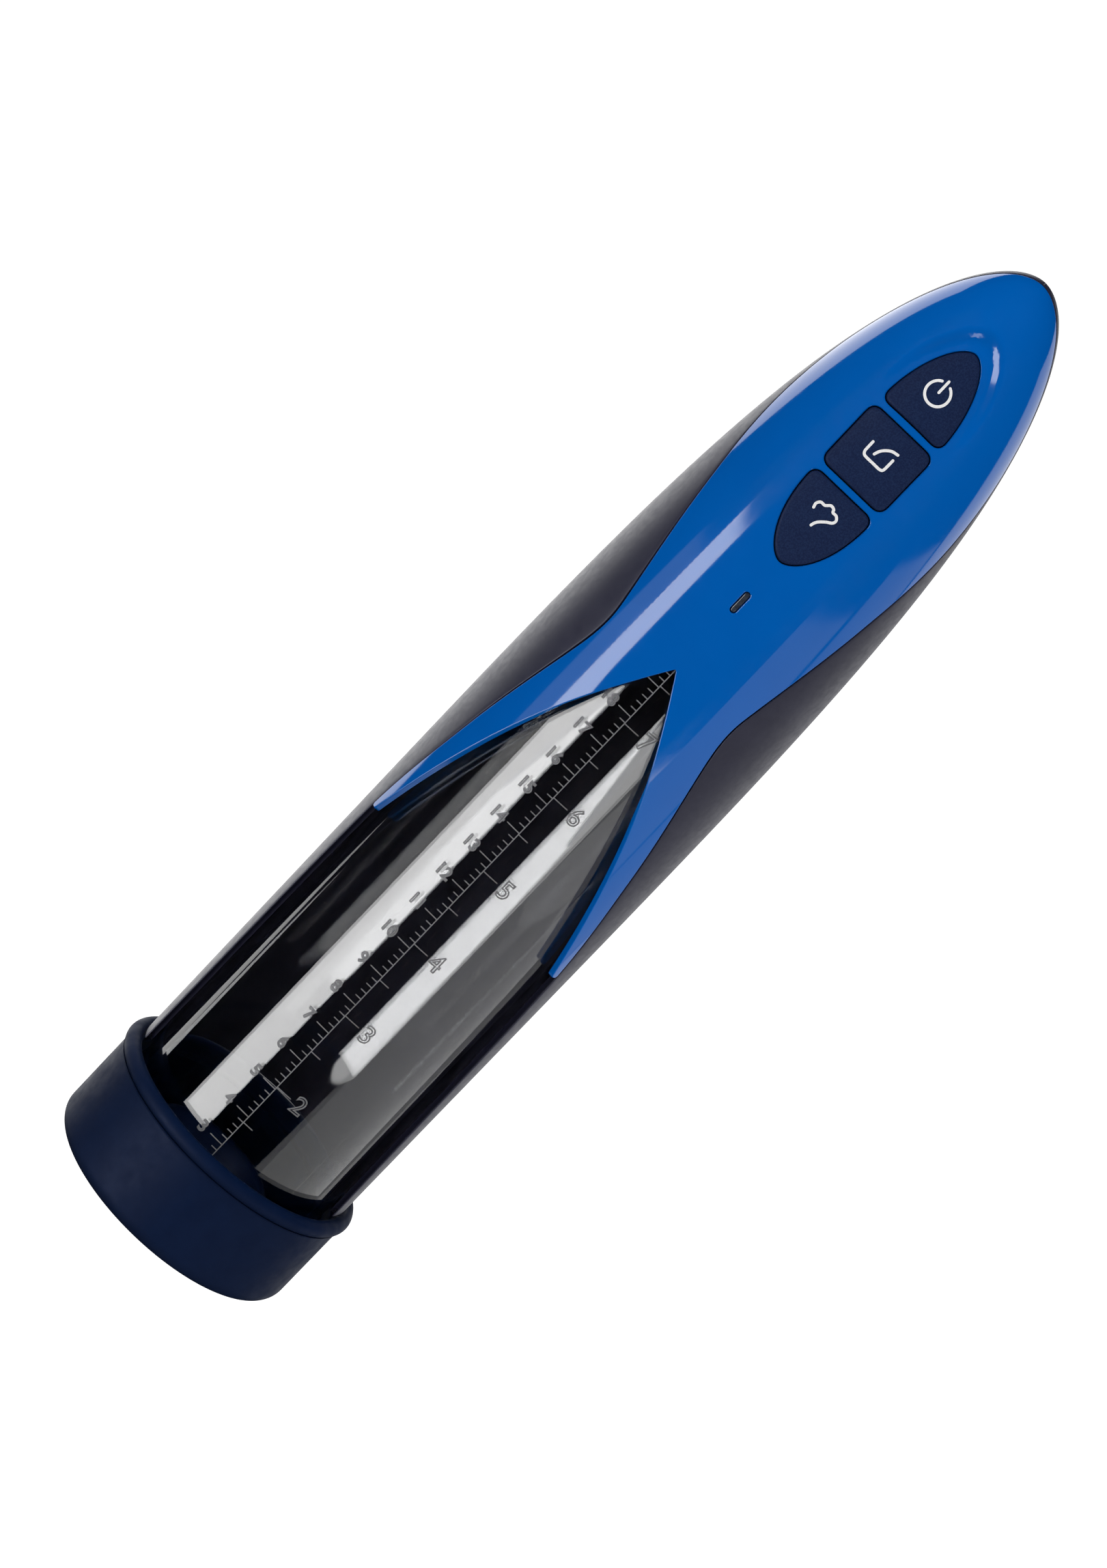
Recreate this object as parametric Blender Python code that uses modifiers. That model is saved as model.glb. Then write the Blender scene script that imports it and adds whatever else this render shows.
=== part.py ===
"""Handheld vacuum pump: a bullet-shaped handle with a motor pump inside and a clear, graduated cylinder.

The handle stands nose up on the soft sleeve at the cylinder's mouth. +Z runs along the axis to the nose and the
keys face -Y. The origin is the centre of the sleeve's flat end ring. Lengths are metres.
"""

import math

import bmesh
import bpy
from mathutils import Matrix, Vector

MM = 0.001
GAP = 0.3 * MM

# Handle: a turned outline that narrows to the nose as a superellipse.
BODY_RADIUS = 33.85 * MM
BODY_LOW = 31.2 * MM
NOSE_START = 80.0 * MM
NOSE_TIP = 321.9 * MM
NOSE_POWER = 4.5
NOSE_ROUND = 1.86
SHELL = 1.8 * MM

# Split line between grip and faceplate, seen from the side: height and distance forward of the axis.
SPLIT_LINE = [
    (31.0 * MM, 9.5 * MM),
    (115.0 * MM, 13.1 * MM),
    (150.0 * MM, 19.5 * MM),
    (185.0 * MM, 25.8 * MM),
    (200.0 * MM, 26.0 * MM),
    (234.0 * MM, 18.0 * MM),
    (264.0 * MM, 7.2 * MM),
    (283.0 * MM, 2.8 * MM),
    (323.0 * MM, 2.5 * MM),
]

# Pointed arch window between the faceplate's legs.
WINDOW_APEX = 198.9 * MM
WINDOW_REACH = 41.0 * MM
WINDOW_FALL = 61.5 * MM
LEG_END = 117.5 * MM

# Clear cylinder and its sleeve.
TUBE_RADIUS = 30.5 * MM
TUBE_WALL = 2.3 * MM
TUBE_MOUTH = 2.4 * MM
TUBE_TOP = 206.0 * MM
TUBE_CORNER = 1.5 * MM
TUBE_FILLET = 4.0 * MM
PORT_RADIUS = 4.0 * MM
PORT_BORE = 2.0 * MM
PORT_TOP = 216.0 * MM
SLEEVE_RADIUS = 36.2 * MM
SLEEVE_CORNER = 4.5 * MM
SLEEVE_BORE = TUBE_RADIUS + GAP
BEAD_RADIUS = 2.2 * MM
BEAD_HEIGHT = 28.2 * MM
BEAD_CENTRE = 35.1 * MM
# Inside of the sleeve from the cylinder's seat up the entry and back down to the end ring: radius and height.
ENTRY_UP = [(SLEEVE_BORE, 2.1 * MM), (22 * MM, 2.1 * MM), (19.5 * MM, 6 * MM), (18.3 * MM, 16 * MM)]
ENTRY_DOWN = [(16.3 * MM, 10 * MM), (17.5 * MM, 3 * MM), (18.5 * MM, 0.9 * MM)]
ENTRY_LIP = (17.2 * MM, 17 * MM)
ENTRY_LIP_RADIUS = 1.1 * MM
END_RING = 20.5 * MM

# Keys: height of the low and high end on the front of the handle, half the width, and shape.
KEYS = [
    ("power_button", (279.5 * MM, 301.3 * MM, 9.4 * MM), "up"),
    ("mode_button", (259.2 * MM, 277.1 * MM, 9.8 * MM), "square"),
    ("release_button", (234.9 * MM, 256.9 * MM, 9.6 * MM), "down"),
]
KEY_PROUD = 0.5 * MM
KEY_DEPTH = 3.0 * MM
KEY_TRAVEL = 1.0 * MM
KEY_CORNER = 2.0 * MM
STEM_RADIUS = 2.0 * MM

# Status light slot.
SLOT_MIDDLE = 221.2 * MM
SLOT_LENGTH = 6.3 * MM
SLOT_WIDTH = 1.7 * MM

# Control board, leaning back with the front of the nose.
BOARD_MIDDLE = 258.0 * MM
BOARD_FORWARD = 19.04 * MM
BOARD_LEAN = math.radians(10.3)
BOARD_THICK = 1.6 * MM
BOARD_OUTLINE = [(11 * MM, -42 * MM), (13 * MM, -32 * MM), (13 * MM, 22 * MM), (7.5 * MM, 42 * MM)]
BOARD_SCREWS = [(-9.5 * MM, -11 * MM), (9.5 * MM, -11 * MM), (-8.5 * MM, 26 * MM), (8.5 * MM, 26 * MM)]
ON_BOARD = 0.05 * MM
SWITCH_SIZE = 6.0 * MM
SWITCH_HEIGHT = 3.5 * MM
LED_SIZE = 3.0 * MM
LED_HEIGHT = 1.2 * MM
SENSOR_SIZE = 7.0 * MM
SENSOR_HEIGHT = 3.0 * MM
SENSOR_PLACE = (4 * MM, -26 * MM)
POST_RADIUS = 2.4 * MM
SCREW_HOLE = 1.3 * MM

# Inside the handle.
BULKHEAD_LOW = 209.2 * MM
BULKHEAD_HIGH = 212.5 * MM
BULKHEAD_RADIUS = 29.9 * MM
PUMP_PLACE = (10.5 * MM, 8.3 * MM)
PUMP_RADIUS = 10.6 * MM
MOTOR_RADIUS = 9.4 * MM
BATTERY_PLACE = (-11.5 * MM, 8.0 * MM)
BATTERY_RADIUS = 9.1 * MM
VALVE_PLACE = (-11.0 * MM, -12.5 * MM)
VALVE_RADIUS = 5.5 * MM
CHASSIS_FRONT = -5.0 * MM
CHASSIS_BACK = -3.0 * MM
CHASSIS_OUTLINE = [
    (9 * MM, 228 * MM),
    (9 * MM, 213 * MM),
    (28.4 * MM, 213 * MM),
    (28.2 * MM, 230 * MM),
    (24 * MM, 262 * MM),
    (18 * MM, 284 * MM),
    (10 * MM, 295 * MM),
]
# Bosses inside the grip for the chassis screws: name, across, height and how far back each reaches.
SHELL_BOSSES = [
    ("left", -25.4 * MM, 226.0 * MM, 13.0 * MM),
    ("right", 25.4 * MM, 226.0 * MM, 13.0 * MM),
    ("top", 0.0, 291.0 * MM, 20.3 * MM),
]
BOSS_RADIUS = 3.0 * MM
BOSS_HOLE_END = 9.0 * MM
STUB_RADIUS = 1.6 * MM
STUB_LEVEL = 222.5 * MM
VALVE_LEVEL = 221.2 * MM
HOSE_RADIUS = 2.0 * MM
LEAD_RADIUS = 0.8 * MM
# Flexible lines, in millimetres.
PUMP_HOSE = [
    (9.9, 0, 222.5), (12.5, 0, 222.5), (15, 1, 222.4), (17, 3.4, 222.4), (17.2, 6.2, 222.7), (16.5, 8.1, 224.2),
    (16.4, 8.3, 226.6),
]
BATTERY_LEAD = [
    (-11.5, 8, 277.8), (-11, 7.2, 284), (-9.2, 5, 290), (-7.5, 1.5, 295), (-6, -3, 298), (-5.4, -7, 298),
    (-5.2, -9.2, 295.8), (-5, -10.6, 293),
]
MOTOR_LEAD = [
    (10.5, 8.3, 280.8), (10.3, 7.8, 285), (9.2, 5, 290), (7.5, 1.5, 295), (6, -3, 298), (5.4, -7, 298),
    (5.2, -9.2, 295.8), (5, -10.6, 293),
]
SPRING_TURNS = 4
SPRING_LOW = 232.4
SPRING_HIGH = 237.3
SPRING_COIL = 1.9
SPRING_WIRE = 0.25 * MM

# Charging inlet on the back.
INLET_HEIGHT = 226.0 * MM
COVER_WIDTH = 14.0 * MM
COVER_HEIGHT = 7.0 * MM
COVER_DEPTH = 2.0 * MM
SOCKET_WIDTH = 9.0 * MM
SOCKET_HEIGHT = 3.4 * MM
SOCKET_FRONT = -2.6 * MM
SOCKET_BACK = -10.5 * MM

PARTS = "vacuum_pump"
CUTTERS = "cutters"


def clear_scene():
    for obj in list(bpy.data.objects):
        bpy.data.objects.remove(obj, do_unlink=True)
    for name in (PARTS, CUTTERS):
        bpy.context.scene.collection.children.link(bpy.data.collections.new(name))


def material(name, colour, roughness, metallic=0.0, alpha=1.0):
    found = bpy.data.materials.get(name)
    if found:
        return found
    new = bpy.data.materials.new(name)
    new.use_nodes = True
    shader = new.node_tree.nodes["Principled BSDF"]
    shader.inputs["Base Color"].default_value = (*colour, 1.0)
    shader.inputs["Roughness"].default_value = roughness
    shader.inputs["Metallic"].default_value = metallic
    shader.inputs["Alpha"].default_value = alpha
    return new


def navy_soft_touch():
    return material("navy_soft_touch", (0.028, 0.028, 0.055), 0.55)


def blue_gloss():
    return material("blue_gloss", (0.0, 0.098, 0.402), 0.12)


def navy_key():
    return material("navy_key", (0.013, 0.021, 0.061), 0.5)


def navy_silicone():
    return material("navy_silicone", (0.007, 0.022, 0.08), 0.6)


def clear_plastic():
    return material("clear_plastic", (0.85, 0.87, 0.88), 0.03, alpha=0.3)


def light_window():
    return material("light_window", (0.6, 0.65, 0.7), 0.3)


def black_plastic():
    return material("black_plastic", (0.02, 0.02, 0.022), 0.45)


def steel():
    return material("steel", (0.6, 0.6, 0.6), 0.3, metallic=1.0)


def board_green():
    return material("board_green", (0.02, 0.12, 0.05), 0.4)


def silicone_grey():
    return material("silicone_grey", (0.35, 0.36, 0.38), 0.5)


def battery_wrap():
    return material("battery_wrap", (0.02, 0.18, 0.4), 0.35)


def copper_coil():
    return material("copper_coil", (0.6, 0.25, 0.1), 0.4, metallic=1.0)


def white_felt():
    return material("white_felt", (0.75, 0.75, 0.73), 0.9)


def cable_red():
    return material("cable_red", (0.45, 0.02, 0.02), 0.4)


def cable_black():
    return material("cable_black", (0.03, 0.03, 0.03), 0.4)


def place(name, mesh, finish, cutter=False):
    obj = bpy.data.objects.new(name, mesh)
    bpy.data.collections[CUTTERS if cutter else PARTS].objects.link(obj)
    if cutter:
        obj.hide_render = True
        obj.display_type = "WIRE"
    else:
        mesh.materials.append(finish)
    return obj


def mesh_from(name, form):
    bmesh.ops.recalc_face_normals(form, faces=form.faces)
    mesh = bpy.data.meshes.new(name)
    form.to_mesh(mesh)
    form.free()
    return mesh


def smooth(mesh, angle=35):
    mesh.shade_smooth()
    mesh.set_sharp_from_angle(angle=math.radians(angle))


def rod(name, start, end, radius, finish=None, cutter=False, sides=12):
    """A plain cylinder from one point to another."""
    start = Vector(start)
    end = Vector(end)
    form = bmesh.new()
    length = (end - start).length
    bmesh.ops.create_cone(form, cap_ends=True, segments=sides, radius1=radius, radius2=radius, depth=length)
    turn = Vector((0, 0, 1)).rotation_difference(end - start).to_matrix().to_4x4()
    bmesh.ops.transform(form, matrix=Matrix.Translation((start + end) / 2) @ turn, verts=form.verts)
    mesh = mesh_from(name, form)
    smooth(mesh)
    return place(name, mesh, finish, cutter)


def turned(name, profile, finish=None, centre=(0.0, 0.0), sides=20, cutter=False):
    """A turned piece from (radius, height) points, closed by the axis or by joining its ends."""
    area = 0.0
    for (r1, z1), (r2, z2) in zip(profile, profile[1:] + profile[:1]):
        area += r1 * z2 - r2 * z1
    points = profile if area < 0 else profile[::-1]
    on_axis = min(r for r, z in points) < 1e-7
    if on_axis:
        while not (points[0][0] < 1e-7 and points[-1][0] < 1e-7):
            points = points[1:] + points[:1]
    mesh = bpy.data.meshes.new(name)
    edges = [(i, i + 1) for i in range(len(points) - 1)]
    if not on_axis:
        edges.append((len(points) - 1, 0))
    mesh.from_pydata([(r, 0, z) for r, z in points], edges, [])
    obj = place(name, mesh, finish, cutter)
    obj.location = (centre[0], centre[1], 0)
    spin = obj.modifiers.new("turn", "SCREW")
    spin.axis = "Z"
    spin.steps = sides
    spin.render_steps = sides
    spin.use_merge_vertices = True
    spin.merge_threshold = 0.00001
    spin.use_smooth_shade = True
    return obj


def prism(name, outline, frame, low, high, finish=None, cutter=False):
    """A flat outline in a frame's XY plane, extruded along the frame's Z from low to high."""
    form = bmesh.new()
    face = form.faces.new([form.verts.new((x, y, low)) for x, y in outline])
    grown = bmesh.ops.extrude_face_region(form, geom=[face])
    moved = [item for item in grown["geom"] if isinstance(item, bmesh.types.BMVert)]
    bmesh.ops.translate(form, vec=(0, 0, high - low), verts=moved)
    obj = place(name, mesh_from(name, form), finish, cutter)
    obj.matrix_world = frame
    return obj


def cut(obj, cutter, operation="DIFFERENCE"):
    modifier = obj.modifiers.new(operation.lower(), "BOOLEAN")
    modifier.operation = operation
    modifier.solver = "EXACT"
    modifier.object = cutter


def arc(centre, radius, start, end, steps):
    """Points of an arc, in degrees, ends included."""
    points = []
    for step in range(steps + 1):
        angle = math.radians(start + (end - start) * step / steps)
        points.append((centre[0] + radius * math.cos(angle), centre[1] + radius * math.sin(angle)))
    return points


def body_radius(z):
    along = min(max((z - NOSE_START) / (NOSE_TIP - NOSE_START), 0.0), 1.0)
    return BODY_RADIUS * (1 - along**NOSE_POWER) ** (1 / NOSE_ROUND)


def body_height(radius):
    """The height on the nose where the handle has this radius."""
    along = (1 - (radius / BODY_RADIUS) ** NOSE_ROUND) ** (1 / NOSE_POWER)
    return NOSE_START + along * (NOSE_TIP - NOSE_START)


def on_line(points, z):
    """A smooth curve through (height, value) points, with slopes taken from the neighbours."""
    slopes = []
    for i in range(len(points)):
        before = points[max(i - 1, 0)]
        after = points[min(i + 1, len(points) - 1)]
        slopes.append((after[1] - before[1]) / (after[0] - before[0]))
    z = min(max(z, points[0][0]), points[-1][0])
    i = max(k for k in range(len(points) - 1) if points[k][0] <= z)
    span = points[i + 1][0] - points[i][0]
    s = (z - points[i][0]) / span
    return (
        (2 * s**3 - 3 * s**2 + 1) * points[i][1]
        + (s**3 - 2 * s**2 + s) * span * slopes[i]
        + (3 * s**2 - 2 * s**3) * points[i + 1][1]
        + (s**3 - s**2) * span * slopes[i + 1]
    )


def split_angle(z, shift):
    """The angle from the front where the split line runs, moved forward by shift."""
    radius = body_radius(z)
    forward = on_line(SPLIT_LINE, z) + shift
    return math.acos(min(forward / radius, 1.0)) if radius > 1e-6 else 0.0


def window_angle(z):
    below = WINDOW_APEX - z
    if below <= 0:
        return 0.0
    half = WINDOW_REACH * (1 - math.exp(-below / WINDOW_FALL))
    return math.asin(min(half / body_radius(z), 1.0))


def half_shell(name, heights, first_angle, last_angle, columns, finish):
    """Half of a shell that follows the handle's outline, mirrored across X and thickened inwards.

    A narrow column along each long edge keeps the rim square to the surface.
    """
    form = bmesh.new()
    rim = 0.02
    shares = [0.0, rim] + [step / columns for step in range(1, columns)] + [1 - rim, 1.0]
    rows = []
    for z in heights:
        start = first_angle(z)
        end = last_angle(z)
        row = []
        for share in shares:
            angle = start + (end - start) * share
            across = body_radius(z) * math.sin(angle)
            if angle == 0.0 or angle == math.pi:
                across = 0.0
            row.append(form.verts.new((across, -body_radius(z) * math.cos(angle), z)))
        rows.append(row)
    for low, high in zip(rows, rows[1:]):
        for column in range(len(shares) - 1):
            form.faces.new((low[column], low[column + 1], high[column + 1], high[column]))
    bmesh.ops.remove_doubles(form, verts=form.verts, dist=0.000001)
    mesh = bpy.data.meshes.new(name)
    form.to_mesh(mesh)
    form.free()
    smooth(mesh, 50)
    obj = place(name, mesh, finish)
    mirror = obj.modifiers.new("mirror", "MIRROR")
    mirror.merge_threshold = 0.00001
    wall = obj.modifiers.new("wall", "SOLIDIFY")
    wall.thickness = SHELL
    wall.offset = -1
    return obj


def eased(low, high, steps):
    """Heights from low to high, closer together towards the top."""
    return [low + (high - low) * math.sin(math.pi / 2 * step / steps) for step in range(steps + 1)]


def envelope(name, proud):
    """The handle's outline as a turned solid, grown by proud, used to shape what lies in its surface."""
    heights = eased(200 * MM, NOSE_TIP, 18)
    profile = [(0, 200 * MM)] + [(body_radius(z) + proud, z) for z in heights[:-1]] + [(0, NOSE_TIP + proud)]
    return turned(name, profile, sides=60, cutter=True)


def surface_frame(z, back=False):
    """A frame on the handle's front or back at this height: X across, Y up the surface, Z outwards."""
    step = 0.5 * MM
    lean = math.atan((body_radius(z - step) - body_radius(z + step)) / (2 * step))
    side = 1 if back else -1
    outward = Vector((0, side * math.cos(lean), math.sin(lean)))
    up = Vector((0, -side * math.sin(lean), math.cos(lean)))
    across = up.cross(outward)
    matrix = Matrix((across, up, outward)).transposed().to_4x4()
    matrix.translation = (0, side * body_radius(z), z)
    return matrix


def key_outline(key, kind, grow=0.0):
    """A key's outline about its middle: square, pointed up or pointed down."""
    low, high, half = key
    frame = surface_frame((low + high) / 2)
    ends = [(frame.inverted() @ Vector((0, -body_radius(z), z))).y for z in (low, high)]
    bottom = ends[0] - grow
    top = ends[1] + grow
    half = half + grow
    corner = KEY_CORNER + grow
    if kind == "square":
        points = arc((half - corner, bottom + corner), corner, -90, 0, 4)
        points += arc((half - corner, top - corner), corner, 0, 90, 4)
        return points + [(-x, y) for x, y in reversed(points)]
    length = top - bottom
    right = arc((half - corner, corner), corner, -90, 0, 4)
    steps = 10
    for step in range(2, steps):
        share = math.sin(math.pi / 2 * step / steps)
        right.append((half * (1 - share**2.4) ** 0.6, length * share))
    points = right + [(0, length)] + [(-x, y) for x, y in reversed(right)]
    if kind == "up":
        return [(x, bottom + y) for x, y in points]
    return [(-x, top - y) for x, y in points][::-1]


def pill_outline(width, height, grow=0.0):
    radius = height / 2 + grow
    reach = (width - height) / 2
    return arc((reach, 0), radius, -90, 90, 4) + arc((-reach, 0), radius, 90, 270, 4)


def plate_heights():
    """Rows that both shells share, so that their edges stay parallel along the split line."""
    top = body_height(on_line(SPLIT_LINE, NOSE_TIP) + GAP / 2)
    legs = [LEG_END + (WINDOW_APEX - LEG_END) * step / 7 for step in range(7)]
    return legs + eased(WINDOW_APEX, top, 15)


def make_grip():
    shared = plate_heights()
    trough = [BODY_LOW + (LEG_END - BODY_LOW) * step / 3 for step in range(3)]
    heights = trough + shared + eased(shared[-1], NOSE_TIP, 3)[1:]
    shell = half_shell(
        "grip_shell", heights, lambda z: split_angle(z, -GAP / 2), lambda z: math.pi, 9, navy_soft_touch()
    )
    for name, across, height, far in SHELL_BOSSES:
        boss = rod(
            "boss_" + name, (across, CHASSIS_BACK + GAP, height), (across, far, height), BOSS_RADIUS, cutter=True
        )
        hole = rod(
            "boss_hole_" + name, (across, CHASSIS_BACK - MM, height), (across, BOSS_HOLE_END, height), SCREW_HOLE,
            cutter=True,
        )
        cut(shell, boss, "UNION")
        cut(shell, hole)
    frame = surface_frame(INLET_HEIGHT, back=True)
    inlet = prism(
        "inlet_hole", pill_outline(COVER_WIDTH, COVER_HEIGHT, GAP), frame, -6 * MM, 4 * MM, cutter=True
    )
    cut(shell, inlet)


def make_faceplate():
    plate = half_shell(
        "faceplate", plate_heights(), window_angle, lambda z: split_angle(z, GAP / 2), 5, blue_gloss()
    )
    for name, key, kind in KEYS:
        hole = prism(
            name + "_hole", key_outline(key, kind, GAP), surface_frame((key[0] + key[1]) / 2),
            -12 * MM, 4 * MM, cutter=True,
        )
        cut(plate, hole)
    slot = prism(
        "slot_hole", slot_outline(GAP), surface_frame(SLOT_MIDDLE), -6 * MM, 4 * MM, cutter=True
    )
    cut(plate, slot)


def rectangle(width, height):
    x, y = width / 2, height / 2
    return [(-x, -y), (x, -y), (x, y), (-x, y)]


def slot_outline(grow=0.0):
    return [(-y, x) for x, y in pill_outline(SLOT_LENGTH, SLOT_WIDTH, grow)]


def board_frame():
    outward = Vector((0, -math.cos(BOARD_LEAN), math.sin(BOARD_LEAN)))
    up = Vector((0, math.sin(BOARD_LEAN), math.cos(BOARD_LEAN)))
    matrix = Matrix((Vector((1, 0, 0)), up, outward)).transposed().to_4x4()
    matrix.translation = (0, -BOARD_FORWARD, BOARD_MIDDLE)
    return matrix


def switch_place(key):
    """Where a key's inward line meets the board's front, in the board's frame, and how far in it is."""
    frame = surface_frame((key[0] + key[1]) / 2)
    start = board_frame().inverted() @ frame.translation
    inward = board_frame().inverted().to_3x3() @ -frame.col[2].to_3d()
    far = (BOARD_THICK / 2 - start.z) / inward.z
    return start + inward * far, far


def make_keys():
    shape = envelope("key_envelope", KEY_PROUD)
    for name, key, kind in KEYS:
        frame = surface_frame((key[0] + key[1]) / 2)
        cap = prism(name, key_outline(key, kind), frame, -KEY_DEPTH, 4 * MM, navy_key())
        cut(cap, shape, "INTERSECT")
        board, far = switch_place(key)
        stem_end = far - SWITCH_HEIGHT - KEY_TRAVEL - GAP
        start = frame @ Vector((0, 0, -KEY_DEPTH + 0.5 * MM))
        end = frame @ Vector((0, 0, -stem_end))
        cut(cap, rod(name + "_stem", start, end, STEM_RADIUS, cutter=True), "UNION")


def make_board():
    frame = board_frame()
    outline = BOARD_OUTLINE + [(-x, y) for x, y in reversed(BOARD_OUTLINE)]
    board = prism("main_pcb", outline, frame, -BOARD_THICK / 2, BOARD_THICK / 2, board_green())
    front = BOARD_THICK / 2 + ON_BOARD
    for name, key, kind in KEYS:
        middle = switch_place(key)[0]
        switch_frame = frame @ Matrix.Translation((middle.x, middle.y, 0))
        prism(
            name.replace("button", "switch"), rectangle(SWITCH_SIZE, SWITCH_SIZE), switch_frame, front,
            BOARD_THICK / 2 + SWITCH_HEIGHT - GAP, black_plastic(),
        )
    slot = frame.inverted() @ surface_frame(SLOT_MIDDLE).translation
    led_frame = frame @ Matrix.Translation((0, slot.y, 0))
    led_top = front + LED_HEIGHT
    prism("status_led", rectangle(LED_SIZE, LED_SIZE), led_frame, front, led_top, light_window())
    sensor_frame = frame @ Matrix.Translation((*SENSOR_PLACE, 0))
    prism(
        "pressure_sensor", rectangle(SENSOR_SIZE, SENSOR_SIZE), sensor_frame, -front - SENSOR_HEIGHT, -front,
        black_plastic(),
    )
    for number, (across, along) in enumerate(BOARD_SCREWS, 1):
        spot = frame @ Vector((across, along, 0))
        outward = frame.col[2].to_3d()
        hole = rod(
            f"board_hole_{number}", spot - outward * 3 * MM, spot + outward * 3 * MM, SCREW_HOLE, cutter=True
        )
        cut(board, hole)
        screw(f"pcb_screw_{number}", spot + outward * front, -outward, 2 * MM, 5 * MM)
    pipe_frame = surface_frame(SLOT_MIDDLE)
    led_face = (pipe_frame.inverted() @ (led_frame @ Vector((0, 0, led_top)))).z
    pipe = prism("light_pipe", slot_outline(), pipe_frame, led_face + 0.5 * MM, 2 * MM, light_window())
    cut(pipe, envelope("pipe_envelope", 0.0), "INTERSECT")


def screw(name, seat, inward, head, length):
    """A pan-head screw whose head rests at seat and whose shank runs inward."""
    shank = 1.0 * MM
    profile = [(0, 1.3 * MM), (head * 0.7, 1.1 * MM), (head, 0.4 * MM), (head, 0), (shank, 0)]
    profile += [(shank, -length + 0.8 * MM), (0, -length)]
    obj = turned(name, profile, steel(), sides=10)
    turn = Vector((0, 0, -1)).rotation_difference(Vector(inward)).to_matrix().to_4x4()
    obj.matrix_world = Matrix.Translation(seat) @ turn


def make_chassis():
    outline = CHASSIS_OUTLINE + [(-x, z) for x, z in reversed(CHASSIS_OUTLINE)]
    facing = Matrix(((1, 0, 0, 0), (0, 0, -1, 0), (0, 1, 0, 0), (0, 0, 0, 1)))
    plate = prism("chassis", outline, facing, -CHASSIS_BACK, -CHASSIS_FRONT, black_plastic())
    frame = board_frame()
    for number, (across, along) in enumerate(BOARD_SCREWS, 1):
        spot = frame @ Vector((across, along, -BOARD_THICK / 2 - GAP))
        outward = frame.col[2].to_3d()
        reach = (CHASSIS_FRONT + 0.8 * MM - spot.y) / -outward.y
        post = rod(f"post_{number}", spot, spot - outward * reach, POST_RADIUS, cutter=True)
        bore = rod(
            f"post_bore_{number}", spot + outward * MM, spot - outward * 4.5 * MM, SCREW_HOLE, cutter=True
        )
        cut(plate, post, "UNION")
        cut(plate, bore)
    for number, (name, across, height, far) in enumerate(SHELL_BOSSES, 1):
        hole = rod(
            "chassis_hole_" + name, (across, CHASSIS_FRONT - MM, height), (across, CHASSIS_BACK + MM, height),
            SCREW_HOLE, cutter=True,
        )
        cut(plate, hole)
        seat = (across, CHASSIS_FRONT - ON_BOARD, height)
        screw(f"chassis_screw_{number}", seat, (0, 1, 0), 2.6 * MM, 9 * MM)


def make_bulkhead():
    turned(
        "bulkhead",
        [
            (PORT_RADIUS + GAP, BULKHEAD_LOW), (BULKHEAD_RADIUS, BULKHEAD_LOW), (BULKHEAD_RADIUS, BULKHEAD_HIGH),
            (9 * MM, BULKHEAD_HIGH), (9 * MM, 217 * MM), (6.6 * MM, 217 * MM), (6.6 * MM, 211.5 * MM),
            (PORT_RADIUS + GAP, 211.5 * MM),
        ],
        black_plastic(), sides=20,
    )
    turned(
        "end_gasket",
        [(24 * MM, 206.3 * MM), (28.5 * MM, 206.3 * MM), (28.5 * MM, 208.9 * MM), (24 * MM, 208.9 * MM)],
        silicone_grey(), sides=32,
    )
    turned("port_o_ring", arc((5.3 * MM, 213 * MM), 0.95 * MM, 0, 300, 5), silicone_grey(), sides=12)
    turned(
        "air_filter", [(0, 216.4 * MM), (6.2 * MM, 216.4 * MM), (6.2 * MM, 217.4 * MM), (0, 217.4 * MM)],
        white_felt(), sides=20,
    )


def make_manifold():
    """The chamber over the port, with one stub to the pump and one to the release valve."""
    body = turned(
        "manifold",
        [
            (0, 227 * MM), (4.5 * MM, 227 * MM), (4.5 * MM, 219 * MM), (8.6 * MM, 219 * MM),
            (8.6 * MM, 217.7 * MM), (1.5 * MM, 217.7 * MM), (1.5 * MM, 225.5 * MM), (0, 225.5 * MM),
        ],
        black_plastic(), sides=20,
    )
    stub = rod("pump_stub", (3 * MM, 0, STUB_LEVEL), (9.5 * MM, 0, STUB_LEVEL), STUB_RADIUS, cutter=True)
    cut(body, stub, "UNION")
    toward = Vector((*VALVE_PLACE, 0)).normalized()
    height = Vector((0, 0, VALVE_LEVEL))
    end = toward * 6.5 * MM + height
    cut(body, rod("valve_stub", toward * 3 * MM + height, end, STUB_RADIUS, cutter=True), "UNION")
    gap = toward * 0.35 * MM
    far = toward * (Vector((*VALVE_PLACE, 0)).length - VALVE_RADIUS - 0.5 * MM) + height
    rod("valve_connector", end + gap, far, HOSE_RADIUS, silicone_grey())
    wire("pump_hose", PUMP_HOSE, HOSE_RADIUS, silicone_grey())


def wire(name, route, radius, finish):
    """A flexible line through points given in millimetres."""
    curve = bpy.data.curves.new(name, "CURVE")
    curve.dimensions = "3D"
    curve.bevel_depth = radius
    curve.bevel_resolution = 1
    curve.use_fill_caps = True
    curve.render_resolution_u = 0
    spline = curve.splines.new("POLY")
    spline.points.add(len(route) - 1)
    for point, (x, y, z) in zip(spline.points, route):
        point.co = (x * MM, y * MM, z * MM, 1)
    curve.materials.append(finish)
    obj = bpy.data.objects.new(name, curve)
    bpy.data.collections[PARTS].objects.link(obj)


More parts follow.
